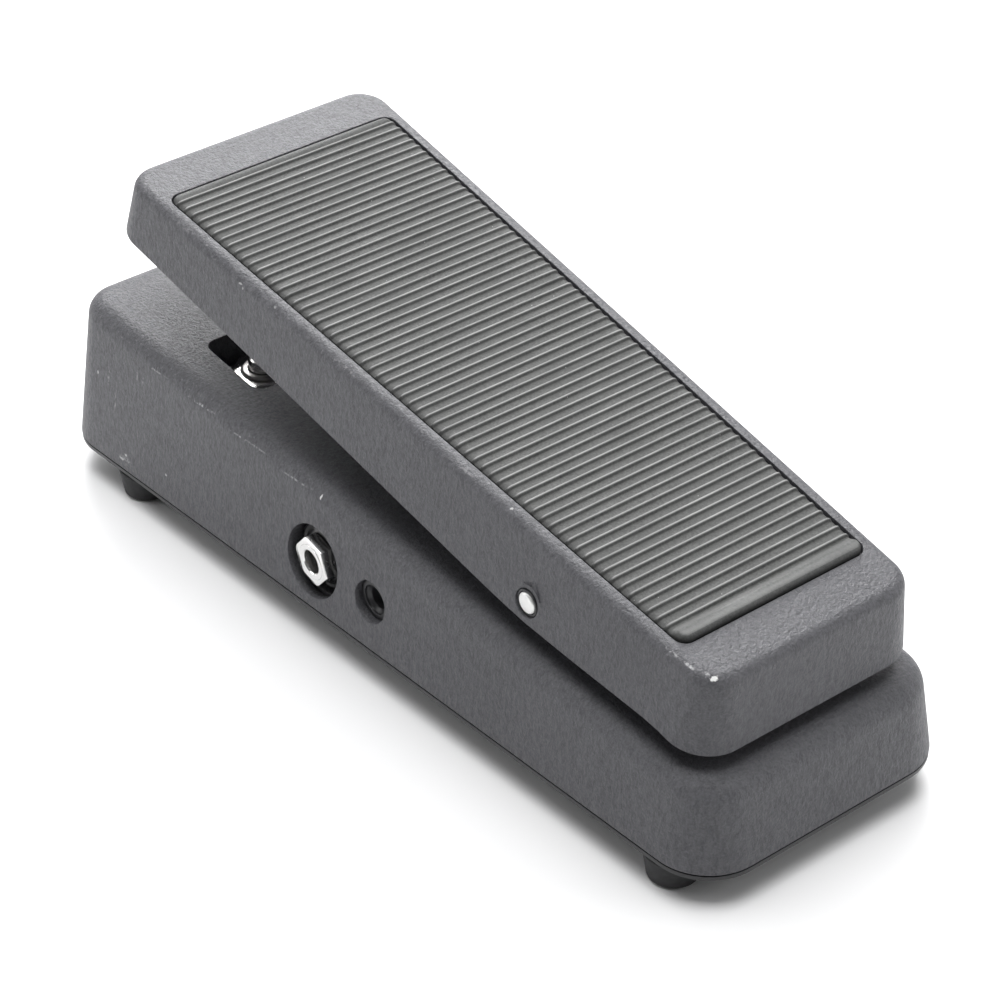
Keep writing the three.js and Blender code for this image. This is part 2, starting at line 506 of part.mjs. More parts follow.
// ---------------------------------------------------------------- rack, pinion, pot
add('clevis_pin', turned('x', [CLEVIS_Y, CLEVIS_Z], [[0, -9.4], [1.3, -9.4], [1.5, -9.2], [1.5, 9.2], [1.3, 9.4], [0, 9.4]], 16), 0xb9babd, 0.3, 0.95);
for (const [where, s] of [['left', -1], ['right', 1]]) {
  const x0 = s > 0 ? 7.8 : -8.5;
  let clip = cyl('x', [CLEVIS_Y, CLEVIS_Z], 2.9, x0, x0 + 0.7, 20);
  clip = clip.subtract(cyl('x', [CLEVIS_Y, CLEVIS_Z], 1.65, x0 - 1, x0 + 2, 16));
  clip = clip.subtract(box(x0 - 1, CLEVIS_Y - 1.1, CLEVIS_Z - 5, x0 + 2, CLEVIS_Y + 1.1, CLEVIS_Z));
  add('clevis_clip_' + where, clip, 0x2a2a2c, 0.4, 0.9);
}
{
  const pitch = (2 * Math.PI * PINION_R) / TEETH;
  const back = RACK_PITCH_Y + 5.2;
  const tip = RACK_PITCH_Y - 0.75;
  const root = RACK_PITCH_Y + 0.95;
  const z0 = FLOOR + 9.6;
  const first = PINION_Z - pitch * 2; // a tooth gap is level with the pinion axis at rest
  const pts = [];
  pts.push([back, z0], [back, CLEVIS_Z - 2.4]);
  // eye
  for (let i = 0; i <= 8; i++) {
    const a = -0.72 + ((Math.PI + 1.44) * i) / 8;
    pts.push([CLEVIS_Y + 3.1 * Math.cos(a), CLEVIS_Z + 3.1 * Math.sin(a)]);
  }
  const zTop = PINION_Z + pitch * 4.1;
  pts.push([root, CLEVIS_Z - 2.9], [root, zTop]);
  for (let k = 5; k >= -3; k--) {
    const c = PINION_Z + (k + 0.5) * pitch - pitch; // tooth centres half a pitch off the axis
    if (c + 1.3 > zTop || c - 1.3 < z0) continue;
    pts.push([root, c + 1.02], [tip, c + 0.42], [tip, c - 0.42], [root, c - 1.02]);
  }
  pts.push([root, z0]);
  pts.reverse();
  let rack = prismX(pts, -3, 3);
  rack = rack.subtract(cyl('x', [CLEVIS_Y, CLEVIS_Z], 1.75, -4, 4, 16));
  add('rack', rack, 0xd8d6cc, 0.45, 0);
  void first;
}
{
  // pinion with a tooth pointing at the rack
  const pts = [];
  for (let i = 0; i < TEETH; i++) {
    const c = (i / TEETH) * Math.PI * 2;
    const polar = (r, a) => [PINION_Y + r * Math.cos(c + a), PINION_Z + r * Math.sin(c + a)];
    pts.push(polar(5.05, -0.19), polar(6.75, -0.065), polar(6.75, 0.065), polar(5.05, 0.19));
  }
  let gear = prismX(pts, -3, 3);
  gear = gear.add(cyl('x', [PINION_Y, PINION_Z], 4.6, 2.9, 6.2, 24));
  gear = gear.subtract(cyl('x', [PINION_Y, PINION_Z], 3.25, -5, 8, 24));
  add('pinion_gear', gear, 0xe0ded4, 0.5, 0);
  add('pot_shaft', turned('x', [PINION_Y, PINION_Z], [[0, -4.0], [2.7, -4.0], [3.0, -3.7], [3.0, 13.6], [0, 13.6]], 24), 0xc8c8ca, 0.3, 0.95);
  let pot = turned('x', [PINION_Y, PINION_Z], [[3.3, 7.2], [4.6, 7.2], [4.6, 12.9], [11.4, 12.9], [12.0, 13.5], [12.0, 23.2], [11.2, 24.0], [0, 24.0], [0, 14.2], [3.3, 14.2], [3.3, 7.2]], 32);
  // solder lugs under the can
  for (const dx of [-6, 0, 6]) {
    pot = pot.add(box(15.2, PINION_Y + dx - 1.1, PINION_Z - 12.6, 15.9, PINION_Y + dx + 1.1, PINION_Z - 8));
  }
  add('pot_body', pot, 0xaeb0b3, 0.35, 0.9);
  let nut = prismX(ring(7.0, 6, 0.3).map(([a, b]) => [PINION_Y + a, PINION_Z + b]), 8.6, 10.7);
  nut = nut.subtract(cyl('x', [PINION_Y, PINION_Z], 4.8, 8, 12, 24));
  add('pot_nut', nut, 0xc4c5c8, 0.28, 0.95);
  // bracket: upright leg with the pot, flange screwed under the top
  let br = box(11.0, -40, FLOOR + 4.5, 12.6, 4.4, FLOOR + 25.7);
  br = br.add(box(11.0, -40, FLOOR + 24.1, 25.5, 4.4, FLOOR + 25.7));
  br = br.subtract(box(12.0, PINION_Y - 13.0, FLOOR + 23, 40, PINION_Y + 13.0, FLOOR + 27));
  br = br.subtract(cyl('x', [PINION_Y, PINION_Z], 4.85, 9, 15, 28));
  for (const [x, y] of BRACKET_BOSSES) br = br.subtract(cyl('z', [x, y], 1.6, FLOOR + 22, FLOOR + 27, 12));
  // arm that carries the guide
  add('pot_bracket', br, 0x9a9c9f, 0.4, 0.85);
  BRACKET_BOSSES.forEach(([x, y], i) => {
    const s = turned('z', [x, y], [[0, FLOOR + 22.2], [1.9, FLOOR + 22.2], [2.7, FLOOR + 22.8], [2.7, FLOOR + 23.8], [1.25, FLOOR + 23.8], [1.25, FLOOR + 29.8], [0, FLOOR + 29.8]], 14);
    add('bracket_screw_' + (i + 1), s, 0x8f9194, 0.35, 0.9);
  });
  // guide block behind the rack, bolted to the bracket's face
  let guide = box(-5.6, RACK_PITCH_Y + 5.7, FLOOR + 12, 10.7, RACK_PITCH_Y + 9.7, FLOOR + 24);
  guide = guide.add(box(-5.6, RACK_PITCH_Y + 2.0, FLOOR + 12, -3.5, RACK_PITCH_Y + 9.0, FLOOR + 24));
  guide = guide.add(box(3.5, RACK_PITCH_Y + 2.0, FLOOR + 12, 5.6, RACK_PITCH_Y + 9.0, FLOOR + 24));
  add('rack_guide', guide, 0xcfcdc2, 0.5, 0);
}

// ---------------------------------------------------------------- footswitch
{
  const f = POCKET.floor;
  const c = [SWITCH_X, SWITCH_Y];
  let body = box(c[0] - 9, c[1] - 9, f - 24, c[0] + 9, c[1] + 9, f - 2.9);
  for (const dy of [-5, 0, 5]) for (const dx of [-4.5, 4.5]) body = body.add(box(c[0] + dx - 0.4, c[1] + dy - 1, f - 26.5, c[0] + dx + 0.4, c[1] + dy + 1, f - 23.5));
  body = body.subtract(cyl('z', c, 5.2, f - 12, f, 28));
  add('footswitch_body', body, 0x1b2a4a, 0.45, 0.1);
  const bush = turned('z', c, [[4.3, f - 11.6], [5.0, f - 11.6], [5.0, f - 2.6], [5.9, f - 2.6], [5.9, f + 3.4], [5.5, f + 3.8], [4.3, f + 3.8], [4.3, f - 11.6]], 24);
  add('footswitch_bushing', bush, 0xd0d2d4, 0.2, 1);
  let nut = prismZ(ring(9.4, 6, 0.35).map(([a, b]) => [c[0] + a, c[1] + b]), f + 0.3, f + 3.0);
  nut = nut.intersect(turned('z', c, [[0, f], [9.2, f], [9.2, f + 2.2], [8.3, f + 3.0], [0, f + 3.0]], 30));
  nut = nut.subtract(cyl('z', c, 6.15, f - 1, f + 6, 28));
  add('footswitch_nut', nut, 0xc9cbce, 0.2, 1);
  add('footswitch_plunger', turned('z', c, [[0, f - 3.0], [4.0, f - 3.0], [4.0, f + 6.4], [3.4, f + 7.3], [2.0, f + 7.7], [0, f + 7.8]], 28), 0xd6d8da, 0.15, 1);
  // return spring under the plunger
  const turns = 4;
  const z0 = f - 11.0;
  const z1 = f - 3.7;
  const pts = [];
  for (let i = 0; i <= turns * 8; i++) {
    const t = (i / 8) * Math.PI * 2;
    pts.push(new THREE.Vector3(c[0] + 2.8 * Math.cos(t), c[1] + 2.8 * Math.sin(t), z0 + ((z1 - z0) * i) / (turns * 8)));
  }
  const curve = new THREE.CatmullRomCurve3(pts);
  const shape = new THREE.Shape(ring(0.38, 6).map(([a, b]) => new THREE.Vector2(a, b)));
  const g = new THREE.ExtrudeGeometry(shape, { extrudePath: curve, steps: turns * 9, bevelEnabled: false });
  let spring = toManifold(g);
  if (spring.volume() < 0) {
    const gg = g.toNonIndexed ? g : g;
    spring = toManifold(gg);
  }
  add('footswitch_spring', spring, 0xb0b1b4, 0.35, 0.9);
}

// ---------------------------------------------------------------- jacks
for (const [which, s] of [['output', -1], ['input', 1]]) {
  const axis = s > 0 ? 'x' : '-x';
  const c = [JACK_Y, JACK_Z];
  const b0 = JACK_BACK - GAP;
  const xa = Math.min(s * (b0 - 26), s * b0);
  const xb = Math.max(s * (b0 - 26), s * b0);
  let body = box(xa, JACK_Y - 10, JACK_Z - 9.6, xb, JACK_Y + 10, JACK_Z + 9.6);
  body = body.subtract(cyl('x', c, 3.3, xa - 1, xb + 1, 24));
  body = body.subtract(cyl('x', c, 4.9, s > 0 ? b0 - 4 : -b0 - 1, s > 0 ? b0 + 1 : -b0 + 4, 28));
  add(which + '_jack_body', body, 0x141416, 0.4, 0);
  // threaded bush
  const face = JACK_OUT + 0.9;
  add(which + '_jack_bush', turned(axis, c, [[3.2, b0 - 3.7], [4.7, b0 - 3.7], [4.7, face - 0.4], [4.3, face], [3.4, face], [3.2, face - 0.2], [3.2, b0 - 3.7]], 24), 0xd2d3d5, 0.18, 1);
  add(which + '_jack_washer', turned(axis, c, [[4.95, JACK_FLOOR + 0.3], [9.3, JACK_FLOOR + 0.3], [9.3, JACK_FLOOR + 1.2], [8.8, JACK_FLOOR + 1.6], [4.95, JACK_FLOOR + 1.6], [4.95, JACK_FLOOR + 0.3]], 28), 0x0d0d0e, 0.3, 0);
  const n0 = JACK_FLOOR + 1.9;
  const n1 = JACK_OUT + 0.4;
  const nx0 = s > 0 ? n0 : -n1;
  const nx1 = s > 0 ? n1 : -n0;
  let nut = prismX(ring(6.9, 6, 0.2).map(([a, b]) => [JACK_Y + a, JACK_Z + b]), nx0, nx1);
  nut = nut.intersect(turned(axis, c, [[0, n0 - 1], [7.2, n0 - 1], [7.2, n1 - 0.7], [6.2, n1], [0, n1]], 36));
  nut = nut.subtract(cyl('x', c, 4.9, nx0 - 1, nx1 + 1, 32));
  add(which + '_jack_nut', nut, 0xe3e4e6, 0.2, 1);
}

// DC socket
{
  const c = [DC_Y, DC_Z];
  let dc = box(-38.9, DC_Y - 7, DC_Z - 6.4, -25.5, DC_Y + 7, DC_Z + 6.4);
  dc = dc.add(cyl('x', c, 5.2, -42.6, -38, 36));
  dc = dc.subtract(cyl('x', c, 2.95, -50, -31, 28));
  dc = dc.subtract(turned('x', c, [[0, -44], [4.0, -44], [4.0, -42.0], [2.95, -41.2], [0, -41.2]], 28));
  add('dc_jack_body', dc, 0x0e0e10, 0.4, 0);
  add('dc_jack_pin', turned('x', c, [[0, -41.0], [0.7, -41.0], [1.05, -40.6], [1.05, -31.4], [0, -31.4]], 16), 0xcfd0d2, 0.25, 1);
}

// ---------------------------------------------------------------- board
{
  let pcb = box(-5, 44, FLOOR + 22.1, 41, 107, FLOOR + 23.7);
  // corner notch clears the foot boss
  pcb = pcb.subtract(box(38.5, 91, FLOOR + 20, 50, 110, FLOOR + 26));
  for (const [x, y] of BOARD_BOSSES) pcb = pcb.subtract(cyl('z', [x, y], 1.6, FLOOR + 20, FLOOR + 26, 12));
  add('circuit_board', pcb, 0x1f5a34, 0.5, 0);
  BOARD_BOSSES.forEach(([x, y], i) => {
    const s = turned('z', [x, y], [[0, FLOOR + 19.9], [1.9, FLOOR + 19.9], [2.7, FLOOR + 20.5], [2.7, FLOOR + 21.8], [1.25, FLOOR + 21.8], [1.25, FLOOR + 30.8], [0, FLOOR + 30.8]], 14);
    add('board_screw_' + (i + 1), s, 0x8f9194, 0.35, 0.9);
  });
  const z = FLOOR + 21.8;
  add('inductor', turned('z', [19, 62], [[0, z - 12.5], [7.6, z - 12.5], [8.6, z - 11.5], [8.6, z - 1.0], [7.9, z], [0, z]], 28), 0x8c1f1f, 0.4, 0);
  add('capacitor', turned('z', [34, 72], [[0, z - 11.5], [3.6, z - 11.5], [4.1, z - 11.0], [4.1, z], [0, z]], 20), 0x1d2f66, 0.35, 0);
  const tr = (name, x, y) => {
    const pts = [];
    for (let i = 0; i <= 10; i++) {
      const a = -0.6 + ((Math.PI + 1.2) * i) / 10;
      pts.push([x + 2.4 * Math.cos(a), y + 2.4 * Math.sin(a)]);
    }
    add(name, prismZ(pts, z - 6.5, z), 0x161617, 0.5, 0);
  };
  tr('transistor', 14, 82);
}

// ---------------------------------------------------------------- battery
{
  const b = BAT;
  let bat = box(b.x0, b.y0, b.z0, b.x1 - 1.6, b.y1, b.z0 + b.h);
  const ym = (b.y0 + b.y1) / 2;
  const zm = b.z0 + b.h / 2;
  bat = bat.add(cyl('x', [ym - 6.3, zm], 3.6, b.x1 - 2, b.x1 + 0.6, 16));
  bat = bat.add(cyl('x', [ym + 6.3, zm], 2.7, b.x1 - 2, b.x1 + 0.6, 16));
  add('battery', bat, 0x2c2c2e, 0.35, 0.5);
  let snap = box(b.x1 + 0.9, b.y0 + 2, b.z0 + 1.5, b.x1 + 3.1, b.y1 - 2, b.z0 + b.h - 1.5);
  snap = snap.add(box(b.x1 - 0.9, ym - 10.6, zm - 4.4, b.x1 + 1.2, ym + 9.8, zm + 4.4));
  snap = snap.subtract(cyl('x', [ym - 6.3, zm], 3.9, b.x1 - 2, b.x1 + 0.9, 16));
  snap = snap.subtract(cyl('x', [ym + 6.3, zm], 3.0, b.x1 - 2, b.x1 + 0.9, 16));
  add('battery_snap', snap, 0x151517, 0.6, 0);
}

// ---------------------------------------------------------------- wires
function wire(name, pts, r, colour) {
  const curve = new THREE.CatmullRomCurve3(pts.map((p) => new THREE.Vector3(...p)), false, 'centripetal');
  const shape = new THREE.Shape(ring(r, 8).map(([a, b]) => new THREE.Vector2(a, b)));
  const g = new THREE.ExtrudeGeometry(shape, { extrudePath: curve, steps: (pts.length - 1) * 3, bevelEnabled: false });
  add(name, toManifold(g), colour, 0.5, 0);
}
const W = FLOOR;
wire('battery_wire_red', [[28.3, -80, W + 11], [31.2, -72, W + 12], [32, -60, W + 14], [32, -49, W + 15.5], [31.5, -30, W + 21], [31, -8, W + 26.4], [31, 15, W + 27.8], [32, 32, W + 26.4], [33.5, 39.5, W + 21], [35, 48, W + 15.5], [35.5, 54, W + 17.5], [35.6, 56, W + 21.5]], 0.7, 0xb01818);
wire('battery_wire_black', [[28.3, -88, W + 8], [32.4, -76, W + 9], [34.6, -62, W + 11.5], [34.8, -49, W + 14], [34.4, -30, W + 19], [33.8, -8, W + 25.4], [33.8, 15, W + 27.6], [35, 32, W + 25.6], [37, 40, W + 19], [38.4, 48, W + 14], [38.6, 58, W + 17], [38.4, 60, W + 21.5]], 0.7, 0x141414);
wire('switch_wire', [[-16.5, 65, W + 3.4], [-12, 60, W + 3.4], [-6, 56, W + 7], [0, 58, W + 15], [2, 60, W + 21.4]], 0.7, 0x2f7a3a);
wire('output_wire', [[-10.5, 20.5, W + 12], [-8, 26, W + 9], [-4, 38, W + 8], [2, 50, W + 12], [5, 55, W + 18], [5.5, 56, W + 21.4]], 0.7, 0xd8d8d8);
wire('pot_wire', [[15.5, PINION_Y + 6, W + 3.3], [10, -2, W + 3.2], [4, 14, W + 4.5], [6, 34, W + 6], [11, 46, W + 12], [12, 50, W + 21.4]], 0.7, 0xc8a020);

export default group;
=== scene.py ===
import math

import bmesh
import bpy
import numpy as np
from mathutils import Matrix, Vector


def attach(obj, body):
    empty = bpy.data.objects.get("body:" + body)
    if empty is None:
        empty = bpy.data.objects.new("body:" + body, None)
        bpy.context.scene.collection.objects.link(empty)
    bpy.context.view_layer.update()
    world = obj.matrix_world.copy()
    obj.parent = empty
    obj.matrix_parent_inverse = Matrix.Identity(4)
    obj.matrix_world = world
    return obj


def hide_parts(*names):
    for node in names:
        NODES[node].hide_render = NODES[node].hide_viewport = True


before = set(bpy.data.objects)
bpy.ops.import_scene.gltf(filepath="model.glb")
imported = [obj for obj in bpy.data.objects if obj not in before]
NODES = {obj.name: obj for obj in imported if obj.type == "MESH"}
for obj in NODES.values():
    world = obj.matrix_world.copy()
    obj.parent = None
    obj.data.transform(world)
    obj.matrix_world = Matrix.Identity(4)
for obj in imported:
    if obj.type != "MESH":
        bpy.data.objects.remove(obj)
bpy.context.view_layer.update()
SCENE = bpy.context.scene
PI = math.pi

# ------------------------------------------------------------------ sizes (mm)
BASE_LEN, BASE_HALF_HEEL, BASE_HALF_TOE, BASE_CORNER = 254.0, 39.6, 53.8, 15.6
BASE_DRAFT, BASE_TOP_MID, BASE_TOP_SLOPE, BASE_FILLET, BASE_WALL = 0.147, 34.25, 0.0807, 5.7, 3.0
PLATE_T, GAP, FLOOR = 1.2, 0.3, 8.0
TREAD_TILT, TREAD_H, TREAD_HEEL, TREAD_TOE = 0.1536, 69.05, -119.8, 103.6
TREAD_HALF_HEEL, TREAD_HALF_TOE, TREAD_CORNER, TREAD_FILLET = 31.2, 39.1, 8.1, 3.1
TREAD_DRAFT, TREAD_WALL, TREAD_TOP_T = 0.155, 3.2, 5.0
PAD_HEEL, PAD_TOE, PAD_HALF_HEEL, PAD_HALF_TOE = -106.3, 89.2, 28.1, 35.06
PAD_RECESS, PAD_CORNER, PAD_GAP = 2.2, 3.2, 0.5
RIBS, RIB_PITCH, RIB_FIRST = 62, 3.034, 85.4
PIVOT_Y, PIVOT_Z, AXLE_R = -59.7, 49.4, 2.8
CLEVIS_Y, CLEVIS_Z = -7.5, 53.1
JACK_Y, JACK_Z, JACK_RECESS_R = 15.0, 22.3, 9.84
DC_Y, DC_Z, DC_HOLE_R = -7.7, 22.4, 5.58
SWITCH_X, SWITCH_Y = -21.0, 70.0
POCKET = dict(x0=-32.0, x1=-8.0, y0=56.0, y1=81.0, floor=39.0)
FEET = [("toe_left", -44.9, 95.6), ("toe_right", 44.9, 95.6), ("heel_left", -32.9, -109.3), ("heel_right", 32.9, -109.3)]
T_LEN = TREAD_TOE - TREAD_HEEL
T_MID = (TREAD_TOE + TREAD_HEEL) / 2
BUMPER_TOP, BUMPER_BOTTOM = 67.0, 62.4


def base_top(y):
    return FLOOR + BASE_TOP_MID + BASE_TOP_SLOPE * y


def wall_x(y, z):
    return BASE_HALF_HEEL + (BASE_HALF_TOE - BASE_HALF_HEEL) * (y + BASE_LEN / 2) / BASE_LEN - BASE_DRAFT * (z - FLOOR)


JACK_OUT = wall_x(JACK_Y, JACK_Z)
JACK_FLOOR = JACK_OUT - 5.0
JACK_BACK = JACK_FLOOR - 2.5
TREAD_M = Matrix.Translation((0, 0, TREAD_H + FLOOR)) @ Matrix.Rotation(TREAD_TILT, 4, "X")


def tread_point(s, d):
    c, n = math.cos(TREAD_TILT), math.sin(TREAD_TILT)
    return (s * c + d * n, TREAD_H + FLOOR + s * n - d * c)


# ------------------------------------------------------------------ mesh helpers (all in mm until done())
def make(name, verts, faces):
    me = bpy.data.meshes.new(name)
    me.from_pydata([tuple(map(float, v)) for v in verts], [], faces)
    me.update()
    bm = bmesh.new()
    bm.from_mesh(me)
    bmesh.ops.recalc_face_normals(bm, faces=bm.faces)
    bm.to_mesh(me)
    bm.free()
    o = bpy.data.objects.new(name, me)
    SCENE.collection.objects.link(o)
    return o


def outline(hh, ht, ln, corner, inset, n):
    k = (ht - hh) / ln
    ck = 1 / math.sqrt(1 + k * k)
    y0, y1 = -ln / 2 + inset, ln / 2 - inset
    r = max(corner - inset, 0.4)
    side = math.atan2(-k, 1)

    def w(y):
        return hh + k * (y + ln / 2) - inset / ck

    out = []
    for sx, sy in ((1, -1), (1, 1), (-1, 1), (-1, -1)):
        yc = y1 - r if sy > 0 else y0 + r
        xc = sx * (w(yc) - r / ck)
        if sx > 0 and sy < 0:
            a0, a1 = -PI / 2, side
        elif sx > 0:
            a0, a1 = side, PI / 2
        elif sy > 0:
            a0, a1 = PI / 2, PI - side
        else:
            a0, a1 = PI - side, PI * 1.5
        for i in range(n + 1):
            t = a0 + (a1 - a0) * i / n
            out.append((xc + r * math.cos(t), yc + r * math.sin(t)))
    return out


def loft(name, rings):
    n = len(rings[0])
    verts = [p for r in rings for p in r]
    faces = []
    for k in range(len(rings) - 1):
        for i in range(n):
            a, b = k * n + i, k * n + (i + 1) % n
            faces.append((a, b, b + n, a + n))
    faces.append(tuple(range(n))[::-1])
    faces.append(tuple((len(rings) - 1) * n + i for i in range(n)))
    return make(name, verts, faces)


def cast_shape(name, hh, ht, ln, corner, draft, fillet, z_bottom, z_top, inset=0.0, steps=10, n=16):
    d = math.atan(draft)

    def at(ins):
        return outline(hh, ht, ln, corner, ins + inset, n)

    base = at(draft * z_bottom)
    rings = [[(p[0], p[1], z_bottom) for p in base]]
    zero = at(0)
    for s in range(steps + 1):
        phi = d + (PI / 2 - d) * s / steps
        ring = []
        for i in range(len(zero)):
            y = zero[i][1]
            for _ in range(3):
                top = z_top(y)
                z = top - fillet + fillet * math.sin(phi)
                zs = top - fillet + fillet * math.sin(d)
                ins = draft * zs + fillet * (math.cos(d) - math.cos(phi)) + inset
                p = _point(hh, ht, ln, corner, ins, n, i)
                y = p[1]
            ring.append((p[0], p[1], z))
        rings.append(ring)
    return loft(name, rings)


def _point(hh, ht, ln, corner, inset, n, i):
    k = (ht - hh) / ln
    ck = 1 / math.sqrt(1 + k * k)
    q, j = divmod(i, n + 1)
    sx, sy = ((1, -1), (1, 1), (-1, 1), (-1, -1))[q]
    y0, y1 = -ln / 2 + inset, ln / 2 - inset
    r = max(corner - inset, 0.4)
    side = math.atan2(-k, 1)
    yc = y1 - r if sy > 0 else y0 + r
    xc = sx * (hh + k * (yc + ln / 2) - inset / ck - r / ck)
    a0, a1 = ((-PI / 2, side), (side, PI / 2), (PI / 2, PI - side), (PI - side, PI * 1.5))[q]
    t = a0 + (a1 - a0) * j / n
    return (xc + r * math.cos(t), yc + r * math.sin(t))


def prism_x(name, pts, x0, x1):
    return loft(name, [[(x0, a, b) for a, b in pts], [(x1, a, b) for a, b in pts]])


def prism_z(name, pts, z0, z1):
    return loft(name, [[(a, b, z0) for a, b in pts], [(a, b, z1) for a, b in pts]])


def block(name, x0, y0, z0, x1, y1, z1):
    return prism_z(name, [(x0, y0), (x1, y0), (x1, y1), (x0, y1)], z0, z1)


def soften(prof, r=0.25, seg=3, closed=False):
    """Rounds the corners of a profile."""
    out = []
    m = len(prof)
    for i, p in enumerate(prof):
        if not closed and i in (0, m - 1):
            out.append(p)
            continue
        a, b = prof[i - 1], prof[(i + 1) % m]
        va, vb = (a[0] - p[0], a[1] - p[1]), (b[0] - p[0], b[1] - p[1])
        la, lb = math.hypot(*va), math.hypot(*vb)
        if la < 1e-6 or lb < 1e-6 or (abs(p[0]) < 1e-9):
            out.append(p)
            continue
        k = min(r, la * 0.45, lb * 0.45)
        q0 = (p[0] + va[0] / la * k, p[1] + va[1] / la * k)
        q1 = (p[0] + vb[0] / lb * k, p[1] + vb[1] / lb * k)
        for j in range(seg + 1):
            t = j / seg
            out.append(((1 - t) ** 2 * q0[0] + 2 * t * (1 - t) * p[0] + t * t * q1[0],
                        (1 - t) ** 2 * q0[1] + 2 * t * (1 - t) * p[1] + t * t * q1[1]))
    return out


def lathe(name, prof, n=64, axis="z", c=(0.0, 0.0), round_r=0.0, seg=3, tube=False):
    """Turned piece. tube: the profile is a closed loop that doesn't reach the axis."""
    if round_r:
        prof = soften(prof, round_r, seg, closed=tube)
    verts, rows = [], []
    for r, h in prof:
        if r < 1e-6:
            rows.append([len(verts)])
            verts.append((0.0, 0.0, h))
        else:
            rows.append(list(range(len(verts), len(verts) + n)))
            for i in range(n):
                t = 2 * PI * i / n
                verts.append((r * math.cos(t), r * math.sin(t), h))
    pairs = list(zip(rows, rows[1:]))
    if tube:
        pairs.append((rows[-1], rows[0]))
    faces = []
    for a, b in pairs:
        if len(a) == 1 and len(b) == 1:
            continue
        for i in range(n):
            j = (i + 1) % n
            if len(a) == 1:
                faces.append((a[0], b[j], b[i]))
            elif len(b) == 1:
                faces.append((a[i], a[j], b[0]))
            else:
                faces.append((a[i], a[j], b[j], b[i]))
    out = []
    for x, y, h in verts:
        if axis == "z":
            out.append((c[0] + x, c[1] + y, h))
        elif axis == "x":
            out.append((h, c[0] + x, c[1] + y))
        else:
            out.append((-h, c[0] + x, c[1] + y))
    return make(name, out, faces)


def cyl(name, axis, c, r, a, b, n=64):
    return lathe(name, [(0, a), (r, a), (r, b), (0, b)], n, axis, c)


def rounded_rect(x0, y0, x1, y1, r, n=6):
    pts = []
    for cx, cy, a in ((x1 - r, y0 + r, -90), (x1 - r, y1 - r, 0), (x0 + r, y1 - r, 90), (x0 + r, y0 + r, 180)):
        for i in range(n + 1):
            t = math.radians(a + 90 * i / n)
            pts.append((cx + r * math.cos(t), cy + r * math.sin(t)))
    return pts


def bake_modifiers(o):
    dg = bpy.context.evaluated_depsgraph_get()
    me = bpy.data.meshes.new_from_object(o.evaluated_get(dg), depsgraph=dg)
    o.modifiers.clear()
    old = o.data
    o.data = me
    bpy.data.meshes.remove(old)
    return o


def combine(o, other, op):
    """Boolean of two closed meshes; the second one is used up."""
    bpy.context.view_layer.update()
    for solver in ("MANIFOLD", "EXACT"):
        m = o.modifiers.new("b", "BOOLEAN")
        m.operation = op
        m.solver = solver
        m.object = other
        dg = bpy.context.evaluated_depsgraph_get()
        count = len(o.evaluated_get(dg).data.polygons)
        if count > 3 and (op != "UNION" or count > 3):
            break
        o.modifiers.remove(m)
    bake_modifiers(o)
    me = other.data
    bpy.data.objects.remove(other)
    bpy.data.meshes.remove(me)
    return o


def union(o, *others):
    for k in others:
        combine(o, k, "UNION")
    return o


def cut(o, *others):
    for k in others:
        combine(o, k, "DIFFERENCE")
    return o


def bevel(o, width, segments=2, angle=38.0, profile=0.5):
    m = o.modifiers.new("bevel", "BEVEL")
    m.width = width
    m.segments = segments
    m.limit_method = "ANGLE"
    m.angle_limit = math.radians(angle)
    m.use_clamp_overlap = False
    m.profile = profile
    m.miter_outer = "MITER_ARC"
    bake_modifiers(o)
    return o


def clean(o, dist=0.002):
    bm = bmesh.new()
    bm.from_mesh(o.data)
    bmesh.ops.remove_doubles(bm, verts=bm.verts, dist=dist)
    bmesh.ops.dissolve_degenerate(bm, edges=bm.edges, dist=dist)
    bm.to_mesh(o.data)
    bm.free()
    return o


def smooth(me, angle=32.0):
    me.polygons.foreach_set("use_smooth", [True] * len(me.polygons))
    me.set_sharp_from_angle(angle=math.radians(angle))
    me.update()


def done(o, body, slot_name, mat, *nodes, angle=32.0, weighted=False):
    """Last step of a piece: millimetres to metres, smooth shading, material, body, the nodes it stands for."""
    o.data.transform(Matrix.Scale(0.001, 4))
    smooth(o.data, angle)
    o.data.materials.clear()
    o.data.materials.append(mat)
    if weighted:
        w = o.modifiers.new("weighted", "WEIGHTED_NORMAL")
        w.keep_sharp = True
        w.weight = 80
    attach(o, body)
    if nodes:
        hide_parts(*nodes)
    return o


def attribute(o, name, values):
    a = o.data.attributes.get(name) or o.data.attributes.new(name, "FLOAT", "POINT")
    a.data.foreach_set("value", np.asarray(values, np.float32))


def coords(o):
    co = np.empty(len(o.data.vertices) * 3)
    o.data.vertices.foreach_get("co", co)
    return co.reshape(-1, 3)


